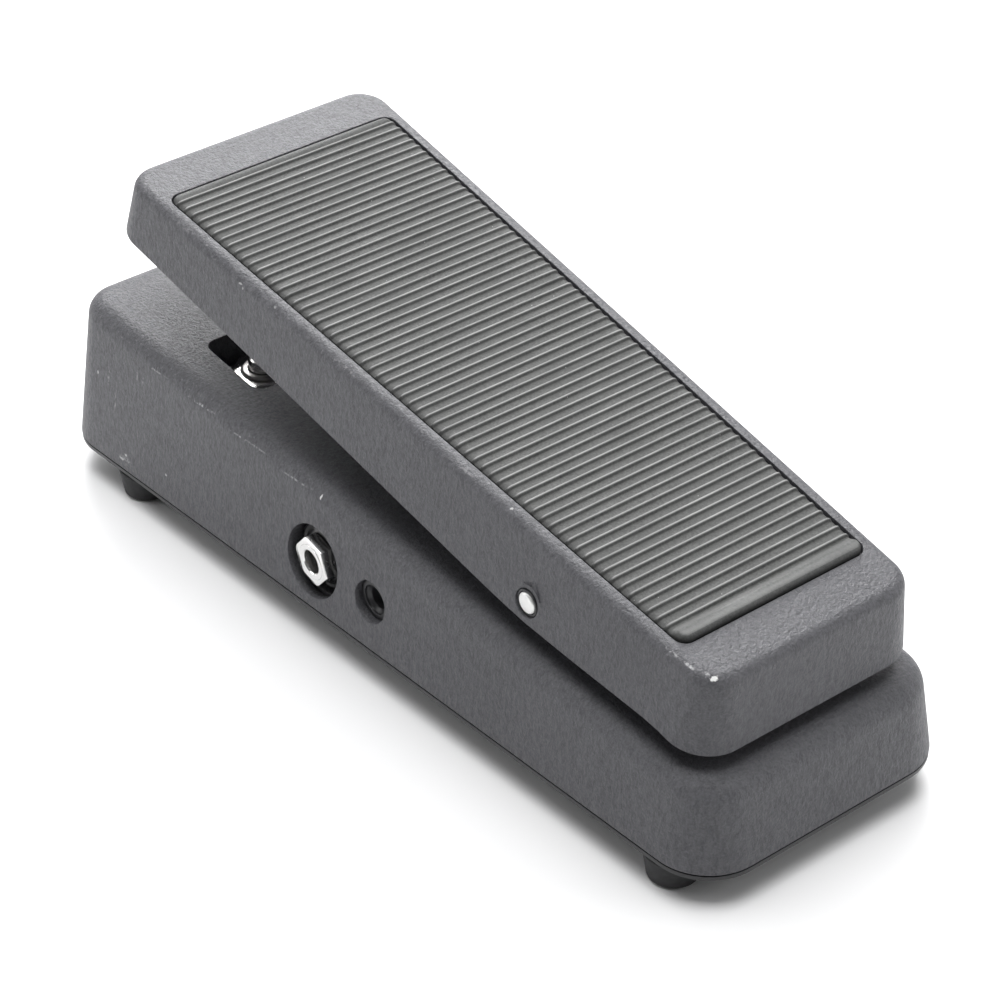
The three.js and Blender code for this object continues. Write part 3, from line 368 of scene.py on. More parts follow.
# ------------------------------------------------------------------ materials
class Mat:
    """A Principled material with a few short calls for its nodes."""

    def __init__(self, name, color=(0.5, 0.5, 0.5), rough=0.5, metal=0.0, **sockets):
        self.m = bpy.data.materials.new(name)
        self.m.use_nodes = True
        self.t = self.m.node_tree
        self.t.nodes.clear()
        self.out = self.t.nodes.new("ShaderNodeOutputMaterial")
        self.b = self.t.nodes.new("ShaderNodeBsdfPrincipled")
        self.t.links.new(self.b.outputs[0], self.out.inputs[0])
        self.b.inputs["Base Color"].default_value = (*color, 1)
        self.b.inputs["Roughness"].default_value = rough
        self.b.inputs["Metallic"].default_value = metal
        for k, v in sockets.items():
            self.b.inputs[k.replace("_", " ")].default_value = v
        self.pos = self.t.nodes.new("ShaderNodeTexCoord").outputs["Object"]

    def put(self, socket, value):
        if hasattr(value, "is_output"):
            self.t.links.new(value, socket)
        else:
            socket.default_value = value

    def node(self, kind, out=0, attrs=None, **inputs):
        n = self.t.nodes.new(kind)
        for k, v in (attrs or {}).items():
            setattr(n, k, v)
        for k, v in inputs.items():
            key = int(k[1:]) if k[0] == "i" and k[1:].isdigit() else k.replace("_", " ")
            self.put(n.inputs[key], v)
        return n.outputs[out]

    def scaled(self, x, y, z, rot=(0, 0, 0)):
        return self.node("ShaderNodeMapping", Vector=self.pos, Scale=(x, y, z), Rotation=rot)

    def noise(self, scale, detail=2.0, rough=0.5, vec=None, distort=0.0):
        return self.node("ShaderNodeTexNoise", Vector=vec if vec is not None else self.pos, Scale=scale, Detail=detail, Roughness=rough, Distortion=distort)

    def voronoi(self, scale, vec=None, feature="F1"):
        return self.node("ShaderNodeTexVoronoi", attrs={"feature": feature}, Vector=vec if vec is not None else self.pos, Scale=scale)

    def math(self, op, a, b=0.0, clamp=False):
        return self.node("ShaderNodeMath", attrs={"operation": op, "use_clamp": clamp}, i0=a, i1=b)

    def step(self, value, lo, hi, a=0.0, b=1.0):
        return self.node("ShaderNodeMapRange", attrs={"clamp": True, "interpolation_type": "SMOOTHSTEP"}, i0=value, i1=lo, i2=hi, i3=a, i4=b)

    def line(self, value, lo, hi, a=0.0, b=1.0):
        return self.node("ShaderNodeMapRange", attrs={"clamp": True}, i0=value, i1=lo, i2=hi, i3=a, i4=b)

    def attr(self, name):
        return self.node("ShaderNodeAttribute", out=2, attrs={"attribute_name": name})

    def mix(self, fac, a, b, blend="MIX"):
        n = self.t.nodes.new("ShaderNodeMix")
        n.data_type = "RGBA"
        n.blend_type = blend
        self.put(n.inputs[0], fac)
        for k, v in ((6, a), (7, b)):
            self.put(n.inputs[k], (*v, 1) if isinstance(v, tuple) and len(v) == 3 else v)
        return n.outputs[2]

    def blob(self, centre, radii, wobble=None, soft=0.35):
        """1 inside a small ellipsoid at a place on the object (metres), 0 outside."""
        d = self.node("ShaderNodeVectorMath", attrs={"operation": "SUBTRACT"}, i0=self.pos, i1=centre)
        d = self.node("ShaderNodeVectorMath", attrs={"operation": "DIVIDE"}, i0=d, i1=radii)
        d = self.node("ShaderNodeVectorMath", out=1, attrs={"operation": "LENGTH"}, i0=d)
        if wobble is not None:
            d = self.math("ADD", d, wobble)
        return self.step(d, 1.0 - soft, 1.0, 1.0, 0.0)

    def color(self, v):
        self.put(self.b.inputs["Base Color"], v if hasattr(v, "is_output") else (*v, 1))

    def rough(self, v):
        self.put(self.b.inputs["Roughness"], v)

    def metal(self, v):
        self.put(self.b.inputs["Metallic"], v)

    def bump(self, *layers):
        """layers: (height, strength, distance in metres)"""
        normal = None
        for h, s, d in layers:
            n = self.t.nodes.new("ShaderNodeBump")
            n.inputs["Strength"].default_value = s
            n.inputs["Distance"].default_value = d
            self.put(n.inputs["Height"], h)
            if normal is not None:
                self.t.links.new(normal, n.inputs["Normal"])
            normal = n.outputs[0]
        self.t.links.new(normal, self.b.inputs["Normal"])


def powder_coat(name, chips, scuffs=(), tone=1.0):
    """Charcoal crinkle powder coat with rubbed edges and a few chips, and painted shade inside the jack and DC
    recesses.
    """
    m = Mat(name, rough=0.5, IOR=1.5)
    fine = m.noise(1900, 3.0, 0.62)
    leather = m.noise(1.0, 3.0, 0.6, vec=m.scaled(980, 980, 520), distort=0.5)
    streak = m.noise(1.0, 3.0, 0.55, vec=m.scaled(700, 700, 170))
    broad = m.noise(30, 3.0, 0.6)
    dark = tuple(c * tone for c in (0.0595, 0.0595, 0.0665))
    light = tuple(c * tone for c in (0.105, 0.105, 0.1155))
    col = m.mix(m.line(fine, 0.3, 0.7), dark, light)
    col = m.mix(m.line(leather, 0.46, 0.62, 0.0, 0.45), col, tuple(c * 0.70 for c in dark))
    col = m.mix(m.line(streak, 0.42, 0.72, 0.0, 0.35), col, tuple(c * 1.15 for c in light))
    col = m.mix(m.line(broad, 0.35, 0.7, 0.0, 0.22), col, tuple(c * 0.85 for c in dark))
    specks = m.step(m.noise(2500, 1.0, 0.5), 0.71, 0.78)
    col = m.mix(m.math("MULTIPLY", specks, 0.3), col, (0.26, 0.26, 0.27))
    # rubbed fillets: thin, broken
    rub = m.math("MULTIPLY", m.attr("rim"), m.step(m.noise(310, 4.0, 0.65), 0.50, 0.66), clamp=True)
    rub2 = m.math("MULTIPLY", m.attr("rim"), m.step(m.noise(1100, 2.0, 0.6), 0.60, 0.72), clamp=True)
    rub = m.math("MULTIPLY", m.math("MAXIMUM", m.math("MULTIPLY", rub, 0.35), rub2), 0.34)
    col = m.mix(rub, col, (0.34, 0.34, 0.35))
    wob = m.line(m.noise(2600, 2.0, 0.6), 0.25, 0.75, -0.35, 0.35)
    chip = None
    for centre, radii, amount in chips:
        b = m.blob(tuple(c * 0.001 for c in centre), tuple(r * 0.001 for r in radii), wob)
        b = m.math("MULTIPLY", b, amount)
        chip = b if chip is None else m.math("MAXIMUM", chip, b)
    if chip is not None:
        col = m.mix(chip, col, (0.80, 0.80, 0.79))
    broken = m.step(m.noise(900, 3.0, 0.65), 0.45, 0.62)
    for centre, radii, amount in scuffs:
        b = m.blob(tuple(c * 0.001 for c in centre), tuple(r * 0.001 for r in radii), None, 0.8)
        b = m.math("MULTIPLY", b, broken)
        col = m.mix(m.math("MULTIPLY", b, amount), col, (0.50, 0.50, 0.51))
    # painted shade: the walls and floors of the jack and DC recesses are darkened almost to black
    recess_shade = m.attr("recess_shade")
    col = m.mix(m.math("MULTIPLY", recess_shade, 0.9), col, (0.012, 0.012, 0.013))
    m.color(col)
    r = m.line(leather, 0.3, 0.7, 0.44, 0.58)
    if chip is not None:
        r = m.node("ShaderNodeMix", i0=chip, i2=r, i3=0.35)
    m.rough(r)
    m.bump((leather, 0.95, 0.00052), (fine, 0.85, 0.00020))
    return m.m


def rubber_mat(name, base, light, scale=600, bump=0.00006, rough=(0.62, 0.8), dust=0.25):
    m = Mat(name, rough=0.7, IOR=1.45)
    n1, n2 = m.noise(scale, 3.0, 0.6), m.noise(60, 4.0, 0.6)
    col = m.mix(m.line(n1, 0.3, 0.7), base, light)
    col = m.mix(m.line(n2, 0.5, 0.75, 0.0, dust), col, tuple(min(1.0, c * 2.2) for c in light))
    m.color(col)
    m.rough(m.line(n2, 0.3, 0.7, *rough))
    m.bump((n1, 0.5, bump))
    return m.m


def metal_mat(name, color, rough=(0.16, 0.3), scratch=0.3, tarnish=(0.35, 0.34, 0.33), spread=0.25, along=(900, 900, 60), metal=1.0):
    """Plated or machined metal: fine tool marks, cloudy roughness, a little tarnish."""
    m = Mat(name, rough=0.2, metal=metal)
    lines = m.noise(1.0, 3.0, 0.6, vec=m.scaled(*along))
    cloud = m.noise(160, 4.0, 0.6)
    pits = m.step(m.noise(1900, 2.0, 0.6), 0.66, 0.74)
    col = m.mix(m.line(cloud, 0.45, 0.8, 0.0, spread), color, tarnish)
    col = m.mix(m.math("MULTIPLY", pits, spread), col, tuple(c * 0.45 for c in color))
    m.color(col)
    m.rough(m.math("ADD", m.line(cloud, 0.3, 0.75, *rough), m.math("MULTIPLY", pits, 0.12)))
    m.bump((lines, scratch, 0.00002), (pits, 0.2, 0.00003))
    return m.m


def plastic_mat(name, color, rough=(0.32, 0.45), scale=900, bump=0.00003, vary=0.25, coat=0.0):
    m = Mat(name, rough=0.4, IOR=1.48, Coat_Weight=coat)
    n1, n2 = m.noise(scale, 2.0, 0.5), m.noise(90, 3.0, 0.6)
    col = m.mix(m.line(n2, 0.3, 0.7, 0.0, vary), color, tuple(min(1.0, c * 1.6 + 0.01) for c in color))
    m.color(col)
    m.rough(m.line(n2, 0.3, 0.7, *rough))
    m.bump((n1, 0.35, bump))
    return m.m


def board_mat(name):
    m = Mat(name, rough=0.35, IOR=1.5)
    grid = m.voronoi(260)
    weave = m.noise(1400, 2.0, 0.5)
    col = m.mix(m.step(grid, 0.35, 0.5), (0.022, 0.15, 0.065), (0.03, 0.20, 0.085))
    col = m.mix(m.line(weave, 0.4, 0.6, 0.0, 0.25), col, (0.02, 0.10, 0.05))
    m.color(col)
    m.rough(m.line(weave, 0.3, 0.7, 0.3, 0.42))
    m.bump((weave, 0.3, 0.00003))
    return m.m


def tread_mat(name):
    """Ribbed rubber: dark in the lands, rubbed pale on the crests with a painted highlight on them, dusty and smudged,
    and painted shade on the edges that drop into the gap.
    """
    m = Mat(name, rough=0.7, IOR=1.45)
    h = m.attr("height")
    fine = m.noise(1500, 3.0, 0.7)
    cloud = m.noise(45, 4.0, 0.62)
    drag = m.noise(1.0, 3.0, 0.6, vec=m.scaled(60, 420, 60))
    land = m.mix(m.line(fine, 0.28, 0.72), (0.030, 0.031, 0.0305), (0.088, 0.0895, 0.087))
    land = m.mix(m.line(cloud, 0.4, 0.7, 0.0, 0.45), land, (0.090, 0.092, 0.091))
    land = m.mix(m.line(drag, 0.5, 0.75, 0.0, 0.3), land, (0.13, 0.131, 0.128))
    # crest colour: dust and rubbing, made paler still as a painted highlight on the rib and bead crests
    crest = m.mix(m.line(drag, 0.3, 0.7), (0.20, 0.201, 0.2), (0.34, 0.341, 0.337))
    crest_wear_and_highlight = m.math("MULTIPLY", m.step(h, 0.62, 0.97), m.line(cloud, 0.25, 0.7, 0.6, 1.0))
    col = m.mix(crest_wear_and_highlight, land, crest)
    # painted shade: where the tread's edges drop into the gap around the recess, the tread is darkened to near black
    dark = m.math("MULTIPLY", m.step(h, -0.9, -0.05, 1.0, 0.0), 1.0)
    col = m.mix(dark, col, (0.02, 0.02, 0.02))
    wob = m.line(m.noise(180, 3.0, 0.6), 0.25, 0.75, -0.35, 0.35)
    for centre, radii, amount in (((-28.4, 39.5, 83.4), (7.5, 2.6, 9.0), 0.45), ((-18.0, 36.6, 83.5), (6.5, 1.8, 9.0), 0.4),
                                  ((8.5, 41.0, 83.4), (9.0, 2.2, 9.0), 0.5), ((27.0, 9.5, 79.3), (6.0, 2.6, 9.0), 0.4),
                                  ((6.0, -44.0, 72.0), (8.0, 4.0, 9.0), 0.25)):
        b = m.blob(tuple(c * 0.001 for c in centre), tuple(r * 0.001 for r in radii), wob, 0.8)
        col = m.mix(m.math("MULTIPLY", b, amount), col, (0.030, 0.031, 0.030))
    lint = m.step(m.voronoi(210), 0.035, 0.02)
    col = m.mix(m.math("MULTIPLY", lint, 0.55), col, (0.55, 0.55, 0.53))
    m.color(col)
    m.rough(m.line(cloud, 0.3, 0.7, 0.55, 0.75))
    m.bump((drag, 0.25, 0.00008), (fine, 0.6, 0.00012))
    return m.m


CHIPS_BASE = [((-41.7, 14.3, 41.0), (2.0, 0.35, 0.7), 0.8), ((-51.4, 96.6, 12.4), (1.5, 1.1, 0.4), 0.4), ((-51.1, 94.8, 14.2), (1.5, 0.7, 0.4), 0.4),
              ((-49.1, 108.8, 33.0), (1.5, 0.35, 0.7), 0.35), ((-49.7, 76.7, 17.0), (1.5, 0.5, 0.4), 0.35), ((-34.6, -126.2, 14.0), (1.0, 1.0, 0.5), 0.3)]
SCUFFS_BASE = [((-47.2, 91.3, 39.4), (1.6, 0.32, 2.6), 0.8), ((-47.0, 88.6, 39.6), (1.6, 0.3, 1.4), 0.7), ((-50.0, 100.5, 28.0), (2.0, 0.5, 6.0), 0.35),
               ((-49.0, 104.0, 34.0), (2.0, 0.6, 4.0), 0.4), ((-44.9, 63.0, 44.0), (1.4, 9.0, 0.45), 0.8), ((-43.8, 43.0, 42.6), (1.2, 13.0, 0.35), 0.6),
               ((-42.9, 24.0, 41.2), (1.2, 8.0, 0.35), 0.5), ((-46.2, 82.0, 45.0), (1.2, 8.0, 0.4), 0.6), ((-51.0, 95.0, 12.5), (2.0, 5.0, 1.6), 0.45)]
CHIPS_TREAD = [((-28.1, -115.5, 58.5), (1.15, 0.85, 0.55), 1.0), ((-37.3, 51.9, 83.2), (0.5, 0.9, 0.3), 0.45), ((-37.3, 50.6, 82.4), (0.5, 0.35, 0.6), 0.4),
               ((-36.3, 38.5, 82.3), (0.5, 0.5, 0.3), 0.25), ((-32.1, -49.8, 69.0), (0.5, 0.5, 0.3), 0.4)]
SCUFFS_TREAD = [((-30.8, -104.6, 60.4), (0.5, 3.4, 0.7), 1.0), ((-30.4, -110.0, 59.6), (0.6, 2.6, 0.7), 1.0), ((-36.6, 67.1, 87.2), (0.9, 2.0, 0.5), 0.7),
                ((-29.0, -113.6, 59.0), (1.0, 2.0, 0.7), 0.7), ((-37.4, 80.0, 88.0), (0.9, 12.0, 1.2), 0.25), ((-33.0, -30.0, 71.5), (0.9, 20.0, 1.2), 0.25),
                ((-35.2, 10.0, 78.0), (0.9, 16.0, 1.2), 0.3)]

MAT = {
    "cast_base": powder_coat("powder_coat_base", CHIPS_BASE, SCUFFS_BASE),
    "cast_tread": powder_coat("powder_coat_treadle", CHIPS_TREAD, SCUFFS_TREAD),
    "plate": plastic_mat("plate_black_paint", (0.018, 0.018, 0.020), (0.35, 0.5), 700),
    "rubber": rubber_mat("rubber_black", (0.016, 0.016, 0.017), (0.030, 0.030, 0.031)),
    "tread": tread_mat("tread_rubber"),
    "steel_bright": metal_mat("steel_bright", (0.78, 0.78, 0.77), (0.42, 0.55), along=(900, 300, 900)),
    "zinc": metal_mat("steel_zinc", (0.56, 0.57, 0.58), (0.28, 0.42), tarnish=(0.42, 0.40, 0.34), spread=0.4),
    "steel_dark": metal_mat("steel_dark", (0.10, 0.10, 0.105), (0.3, 0.45), tarnish=(0.06, 0.055, 0.05)),
    "nickel": metal_mat("nickel_plate", (0.84, 0.835, 0.825), (0.16, 0.28), scratch=0.15, tarnish=(0.66, 0.64, 0.60)),
    "dull_nickel": metal_mat("nickel_dull", (0.42, 0.41, 0.40), (0.34, 0.5), tarnish=(0.2, 0.19, 0.17), spread=0.5),
    "plastic": plastic_mat("plastic_black", (0.017, 0.017, 0.019)),
    "gloss": plastic_mat("plastic_gloss_black", (0.010, 0.010, 0.011), (0.22, 0.34), 1200, 0.00001, coat=0.15),
    "nylon": plastic_mat("nylon_natural", (0.66, 0.64, 0.56), (0.4, 0.5), vary=0.15),
    "blue": plastic_mat("switch_blue", (0.022, 0.055, 0.17)),
    "board": board_mat("board_green"),
    "red_case": plastic_mat("inductor_red", (0.30, 0.022, 0.022), (0.3, 0.42)),
    "cap_blue": plastic_mat("cap_blue", (0.025, 0.05, 0.2), (0.2, 0.3), coat=0.2),
    "battery": metal_mat("battery_case", (0.045, 0.045, 0.05), (0.28, 0.38), metal=0.3),
    "wire_red": plastic_mat("wire_red", (0.45, 0.015, 0.015)),
    "wire_black": plastic_mat("wire_black", (0.015, 0.015, 0.015)),
    "wire_green": plastic_mat("wire_green", (0.025, 0.2, 0.06)),
    "wire_white": plastic_mat("wire_white", (0.68, 0.68, 0.66), vary=0.1),
    "wire_yellow": plastic_mat("wire_yellow", (0.55, 0.38, 0.025)),
}

# ------------------------------------------------------------------ base housing
def towers_and_seat(o):
    for s in (-1, 1):
        x0, x1 = (22.5, 30.5) if s > 0 else (-30.5, -22.5)
        pts = [(PIVOT_Y - 11, base_top(PIVOT_Y) - 3.2), (PIVOT_Y + 11, base_top(PIVOT_Y) - 2.6)]
        for i in range(33):
            t = PI * i / 32
            pts.append((PIVOT_Y + 7.2 * math.cos(t), PIVOT_Z + 7.2 * math.sin(t)))
        union(o, prism_x("tower", pts, x0, x1))
        cut(o, cyl("bore", "x", (PIVOT_Y, PIVOT_Z), AXLE_R + 0.2, x0 - 1, x1 + 1, 48),
            cyl("tap", "z", (s * 26.5, PIVOT_Y), 2.2, PIVOT_Z + 1, PIVOT_Z + 12, 32))
    union(o, cyl("seat", "z", (0, -100), 8.5, base_top(-100) - 3.0, FLOOR + 28.4, 64))
    return o


def build_base():
    def local(y):
        return BASE_TOP_MID + BASE_TOP_SLOPE * y

    args = (BASE_HALF_HEEL, BASE_HALF_TOE, BASE_LEN, BASE_CORNER, BASE_DRAFT)
    o = cast_shape("housing_shell", *args, BASE_FILLET, PLATE_T + GAP, local, 0.0, 12, 20)
    inner = cast_shape("inner", *args, 3.2, -1.0, lambda y: local(y) - BASE_WALL, BASE_WALL, 3, 8)
    for k in (o, inner):
        k.data.transform(Matrix.Translation((0, 0, FLOOR)))
    cut(o, inner)
    for s in (-1, 1):
        a, b = sorted((s * JACK_BACK, s * 43.0))
        union(o, cyl("cup", "x", (JACK_Y, JACK_Z), 12.3, a, b, 72))
    union(o, block("dc_pad", -42.4, DC_Y - 8, DC_Z - 8, -39.2, DC_Y + 8, DC_Z + 8))
    p = POCKET
    z0 = p["floor"] - 2.6
    ys = (p["y0"] - 2.6, p["y1"] + 2.6)
    union(o, prism_x("pocket_wall", [(ys[0], z0), (ys[1], z0), (ys[1], base_top(ys[1]) - 0.6), (ys[0], base_top(ys[0]) - 0.6)], p["x0"] - 2.6, p["x1"] + 2.6))
    for _, x, y in FEET:
        union(o, cyl("boss", "z", (x, y), 3.5, FLOOR + PLATE_T + GAP, FLOOR + 21.0, 32))
    towers_and_seat(o)
    cut(o, block("slot", -11.5, -19.5, FLOOR + 20, 11.5, 3.0, 80),
        prism_z("pocket", rounded_rect(p["x0"], p["y0"], p["x1"], p["y1"], 3.0, 8), p["floor"], 80),
        cyl("switch_hole", "z", (SWITCH_X, SWITCH_Y), 6.2, p["floor"] - 6, p["floor"] + 2, 48))
    for s in (-1, 1):
        a, b = sorted((s * JACK_FLOOR, s * 60))
        cut(o, cyl("recess", "x", (JACK_Y, JACK_Z), JACK_RECESS_R, a, b, 96))
        a, b = sorted((s * (JACK_BACK - 2), s * (JACK_FLOOR + 2)))
        cut(o, cyl("bush_hole", "x", (JACK_Y, JACK_Z), 5.0, a, b, 64))
    cut(o, cyl("dc_hole", "x", (DC_Y, DC_Z), DC_HOLE_R, -60, -38, 72))
    clean(o)
    bevel(o, 0.35, 2, 40.0)
    # rubbed edge: strongest in the middle of the top fillet
    co = coords(o)
    under = base_top(co[:, 1]) - co[:, 2]
    t = np.clip(under / BASE_FILLET, 0, 1)
    side = np.abs(co[:, 0]) > 20
    rim = np.where((under > 0.02) & (under < BASE_FILLET) & side, np.sin(PI * np.clip(t * 1.25, 0, 1)), 0.0)
    attribute(o, "rim", rim * np.clip(0.35 + 0.65 * (co[:, 1] + 60) / 90, 0.12, 1.0))
    # painted shade: marks the walls and floors of the jack and DC recesses, which the coat darkens almost to black
    recess_shade = np.zeros(len(co))
    for y, z, r, skin in ((JACK_Y, JACK_Z, JACK_RECESS_R, 0.5), (DC_Y, DC_Z, DC_HOLE_R, 0.45)):
        inside = (np.hypot(co[:, 1] - y, co[:, 2] - z) < r + 0.1) & (np.abs(co[:, 0]) < wall_x(co[:, 1], co[:, 2]) - skin) & (np.abs(co[:, 0]) > 30)
        recess_shade[inside] = 1.0
    attribute(o, "recess_shade", recess_shade)
    return done(o, "base", "cast_charcoal", MAT["cast_base"], "base_housing", weighted=True)


build_base()


# ------------------------------------------------------------------ bottom plate, feet, their screws
def build_plate():
    o = prism_z("plate_sheet", outline(BASE_HALF_HEEL, BASE_HALF_TOE, BASE_LEN, BASE_CORNER, 0.35, 20), FLOOR, FLOOR + PLATE_T)
    for _, x, y in FEET:
        cut(o, cyl("hole", "z", (x, y), 1.9, FLOOR - 1, FLOOR + 3, 32))
    bevel(o, 0.15, 2, 40.0)
    return done(o, "base", "plate_black", MAT["plate"], "bottom_plate", weighted=True)


build_plate()


def cross_recess(x, y, z0, z1, w=0.62, l=1.9):
    """Two tapered blades for a cross-head screw."""
    out = []
    for a, b in ((l, w), (w, l)):
        lo = [(x - a, y - b), (x + a, y - b), (x + a, y + b), (x - a, y + b)]
        k = 0.55
        hi = [(x - a * k, y - b * 0.7), (x + a * k, y - b * 0.7), (x + a * k, y + b * 0.7), (x - a * k, y + b * 0.7)]
        out.append(loft("blade", [[(p[0], p[1], z0) for p in lo], [(p[0], p[1], z1) for p in hi]]))
    return out


for where, x, y in FEET:
    top = FLOOR - GAP
    foot = lathe("rubber_foot_" + where, [(1.9, 4.6), (4.0, 4.6), (4.15, 0.0), (5.7, 0.0), (6.35, 0.55), (7.3, top - 0.35), (7.0, top), (1.9, top)], 72, "z", (x, y), 0.3, 4, tube=True)
    done(foot, "base", "rubber_black", MAT["rubber"], "foot_" + where, angle=40)
    s = lathe("foot_bolt_" + where, [(0, 1.95), (2.0, 2.0), (2.9, 2.35), (3.4, 3.0), (3.4, 4.25), (1.5, 4.25), (1.5, FLOOR + 14), (0.9, FLOOR + 15), (0, FLOOR + 15)], 48, "z", (x, y), 0.12, 2)
    cut(s, *cross_recess(x, y, 1.0, 3.4, 0.36, 1.75))
    done(s, "base", "steel_zinc", MAT["zinc"], "foot_screw_" + where, angle=35)


# ------------------------------------------------------------------ treadle
def pad_outline(inset, n=8):
    m = (PAD_TOE + PAD_HEEL) / 2
    return [(x, y + m) for x, y in outline(PAD_HALF_HEEL, PAD_HALF_TOE, PAD_TOE - PAD_HEEL, PAD_CORNER, inset, n)]


def build_treadle():
    depth = 32
    args = (TREAD_HALF_HEEL, TREAD_HALF_TOE, T_LEN, TREAD_CORNER, TREAD_DRAFT)
    o = cast_shape("treadle_casting", *args, TREAD_FILLET, -depth, lambda y: 0.0, 0.0, 12, 20)
    inner = cast_shape("inner", *args, 2.4, -depth - 2, lambda y: -TREAD_TOP_T, TREAD_WALL, 3, 8)
    for k in (o, inner):
        k.data.transform(Matrix.Translation((0, T_MID, 0)))
    cut(o, inner)
    cut(o, prism_z("recess", pad_outline(0, 10), -PAD_RECESS, 3))
    for s in (-30, 30, 84):
        half = TREAD_HALF_HEEL + (TREAD_HALF_TOE - TREAD_HALF_HEEL) * (s - TREAD_HEEL) / T_LEN - 1.2
        union(o, block("rib", -half, s - 1.3, -11, half, s + 1.3, -TREAD_TOP_T + 0.5))
    o.data.transform(TREAD_M)
    edge = [(TREAD_TOE + 14, 15.6), (TREAD_TOE, 16.1), (83, 17.0), (25, 19.6), (-20, 21.75), (-45, 22.9), (-52, 23.2), (-58, 23.35), (-64, 23.35),
            (-71, 22.95), (-82, 22.25), (-103.5, 20.6), (-109, 20.5), (-114, 20.9), (TREAD_HEEL, 21.2), (TREAD_HEEL - 14, 21.4)]
    pts = [tread_point(s, d) for s, d in edge] + [(-150, 0), (150, 0)]
    cut(o, prism_x("under", pts[::-1], -80, 80))
    for s in (-1, 1):
        pts = [(CLEVIS_Y - 5.5, CLEVIS_Z + 20), (CLEVIS_Y - 3.2, CLEVIS_Z)]
        for i in range(1, 16):
            a = PI + PI * i / 16
            pts.append((CLEVIS_Y + 3.2 * math.cos(a), CLEVIS_Z + 3.2 * math.sin(a)))
        pts += [(CLEVIS_Y + 3.2, CLEVIS_Z), (CLEVIS_Y + 5.5, CLEVIS_Z + 20)]
        x0 = 3.5 if s > 0 else -7.5
        union(o, prism_x("lug", pts, x0, x0 + 4))
        cut(o, cyl("pin_hole", "x", (CLEVIS_Y, CLEVIS_Z), 1.75, x0 - 1, x0 + 5, 32))
    post_top = TREAD_H + FLOOR + 0.155 * SWITCH_Y - 4
    union(o, cyl("post", "z", (SWITCH_X, SWITCH_Y), 6.0, BUMPER_TOP, post_top, 64))
    cut(o, cyl("post_hole", "z", (SWITCH_X, SWITCH_Y), 2.3, BUMPER_TOP - 1, BUMPER_TOP + 6, 32))
    union(o, block("stop_rib", -9, -104, FLOOR + 33.2, 9, -96, TREAD_H + FLOOR - 0.155 * 100 - 4))
    for s in (-1, 1):
        a, b = sorted((s * 32.4, s * 35.4))
        union(o, cyl("thick", "x", (PIVOT_Y, PIVOT_Z), 5.2, a, b, 48))
        a, b = sorted((s * 31, s * 60))
        cut(o, cyl("axle_hole", "x", (PIVOT_Y, PIVOT_Z), 3.7, a, b, 64))
    clean(o)
    bevel(o, 0.3, 2, 40.0)
    inv = TREAD_M.inverted()
    co = coords(o)
    loc = (np.c_[co, np.ones(len(co))] @ np.array(inv).T)[:, :3]
    d = -loc[:, 2]
    t = np.clip(d / TREAD_FILLET, 0, 1)
    half = TREAD_HALF_HEEL + (TREAD_HALF_TOE - TREAD_HALF_HEEL) * (loc[:, 1] - TREAD_HEEL) / T_LEN
    near = (np.abs(loc[:, 0]) > half - 4.2) | (loc[:, 1] < TREAD_HEEL + 4.2) | (loc[:, 1] > TREAD_TOE - 4.2)
    rim = np.where((d > 0.01) & (d < TREAD_FILLET) & near, np.sin(PI * np.clip(t * 1.15, 0, 1)), 0.0)
    attribute(o, "rim", rim * np.where(loc[:, 0] < 0, 1.0, 0.6) * np.clip(1.0 - (loc[:, 1] + 96) / -20, 0.35, 1.0))
    return done(o, "treadle_body", "cast_charcoal", MAT["cast_tread"], "treadle", weighted=True)


build_treadle()


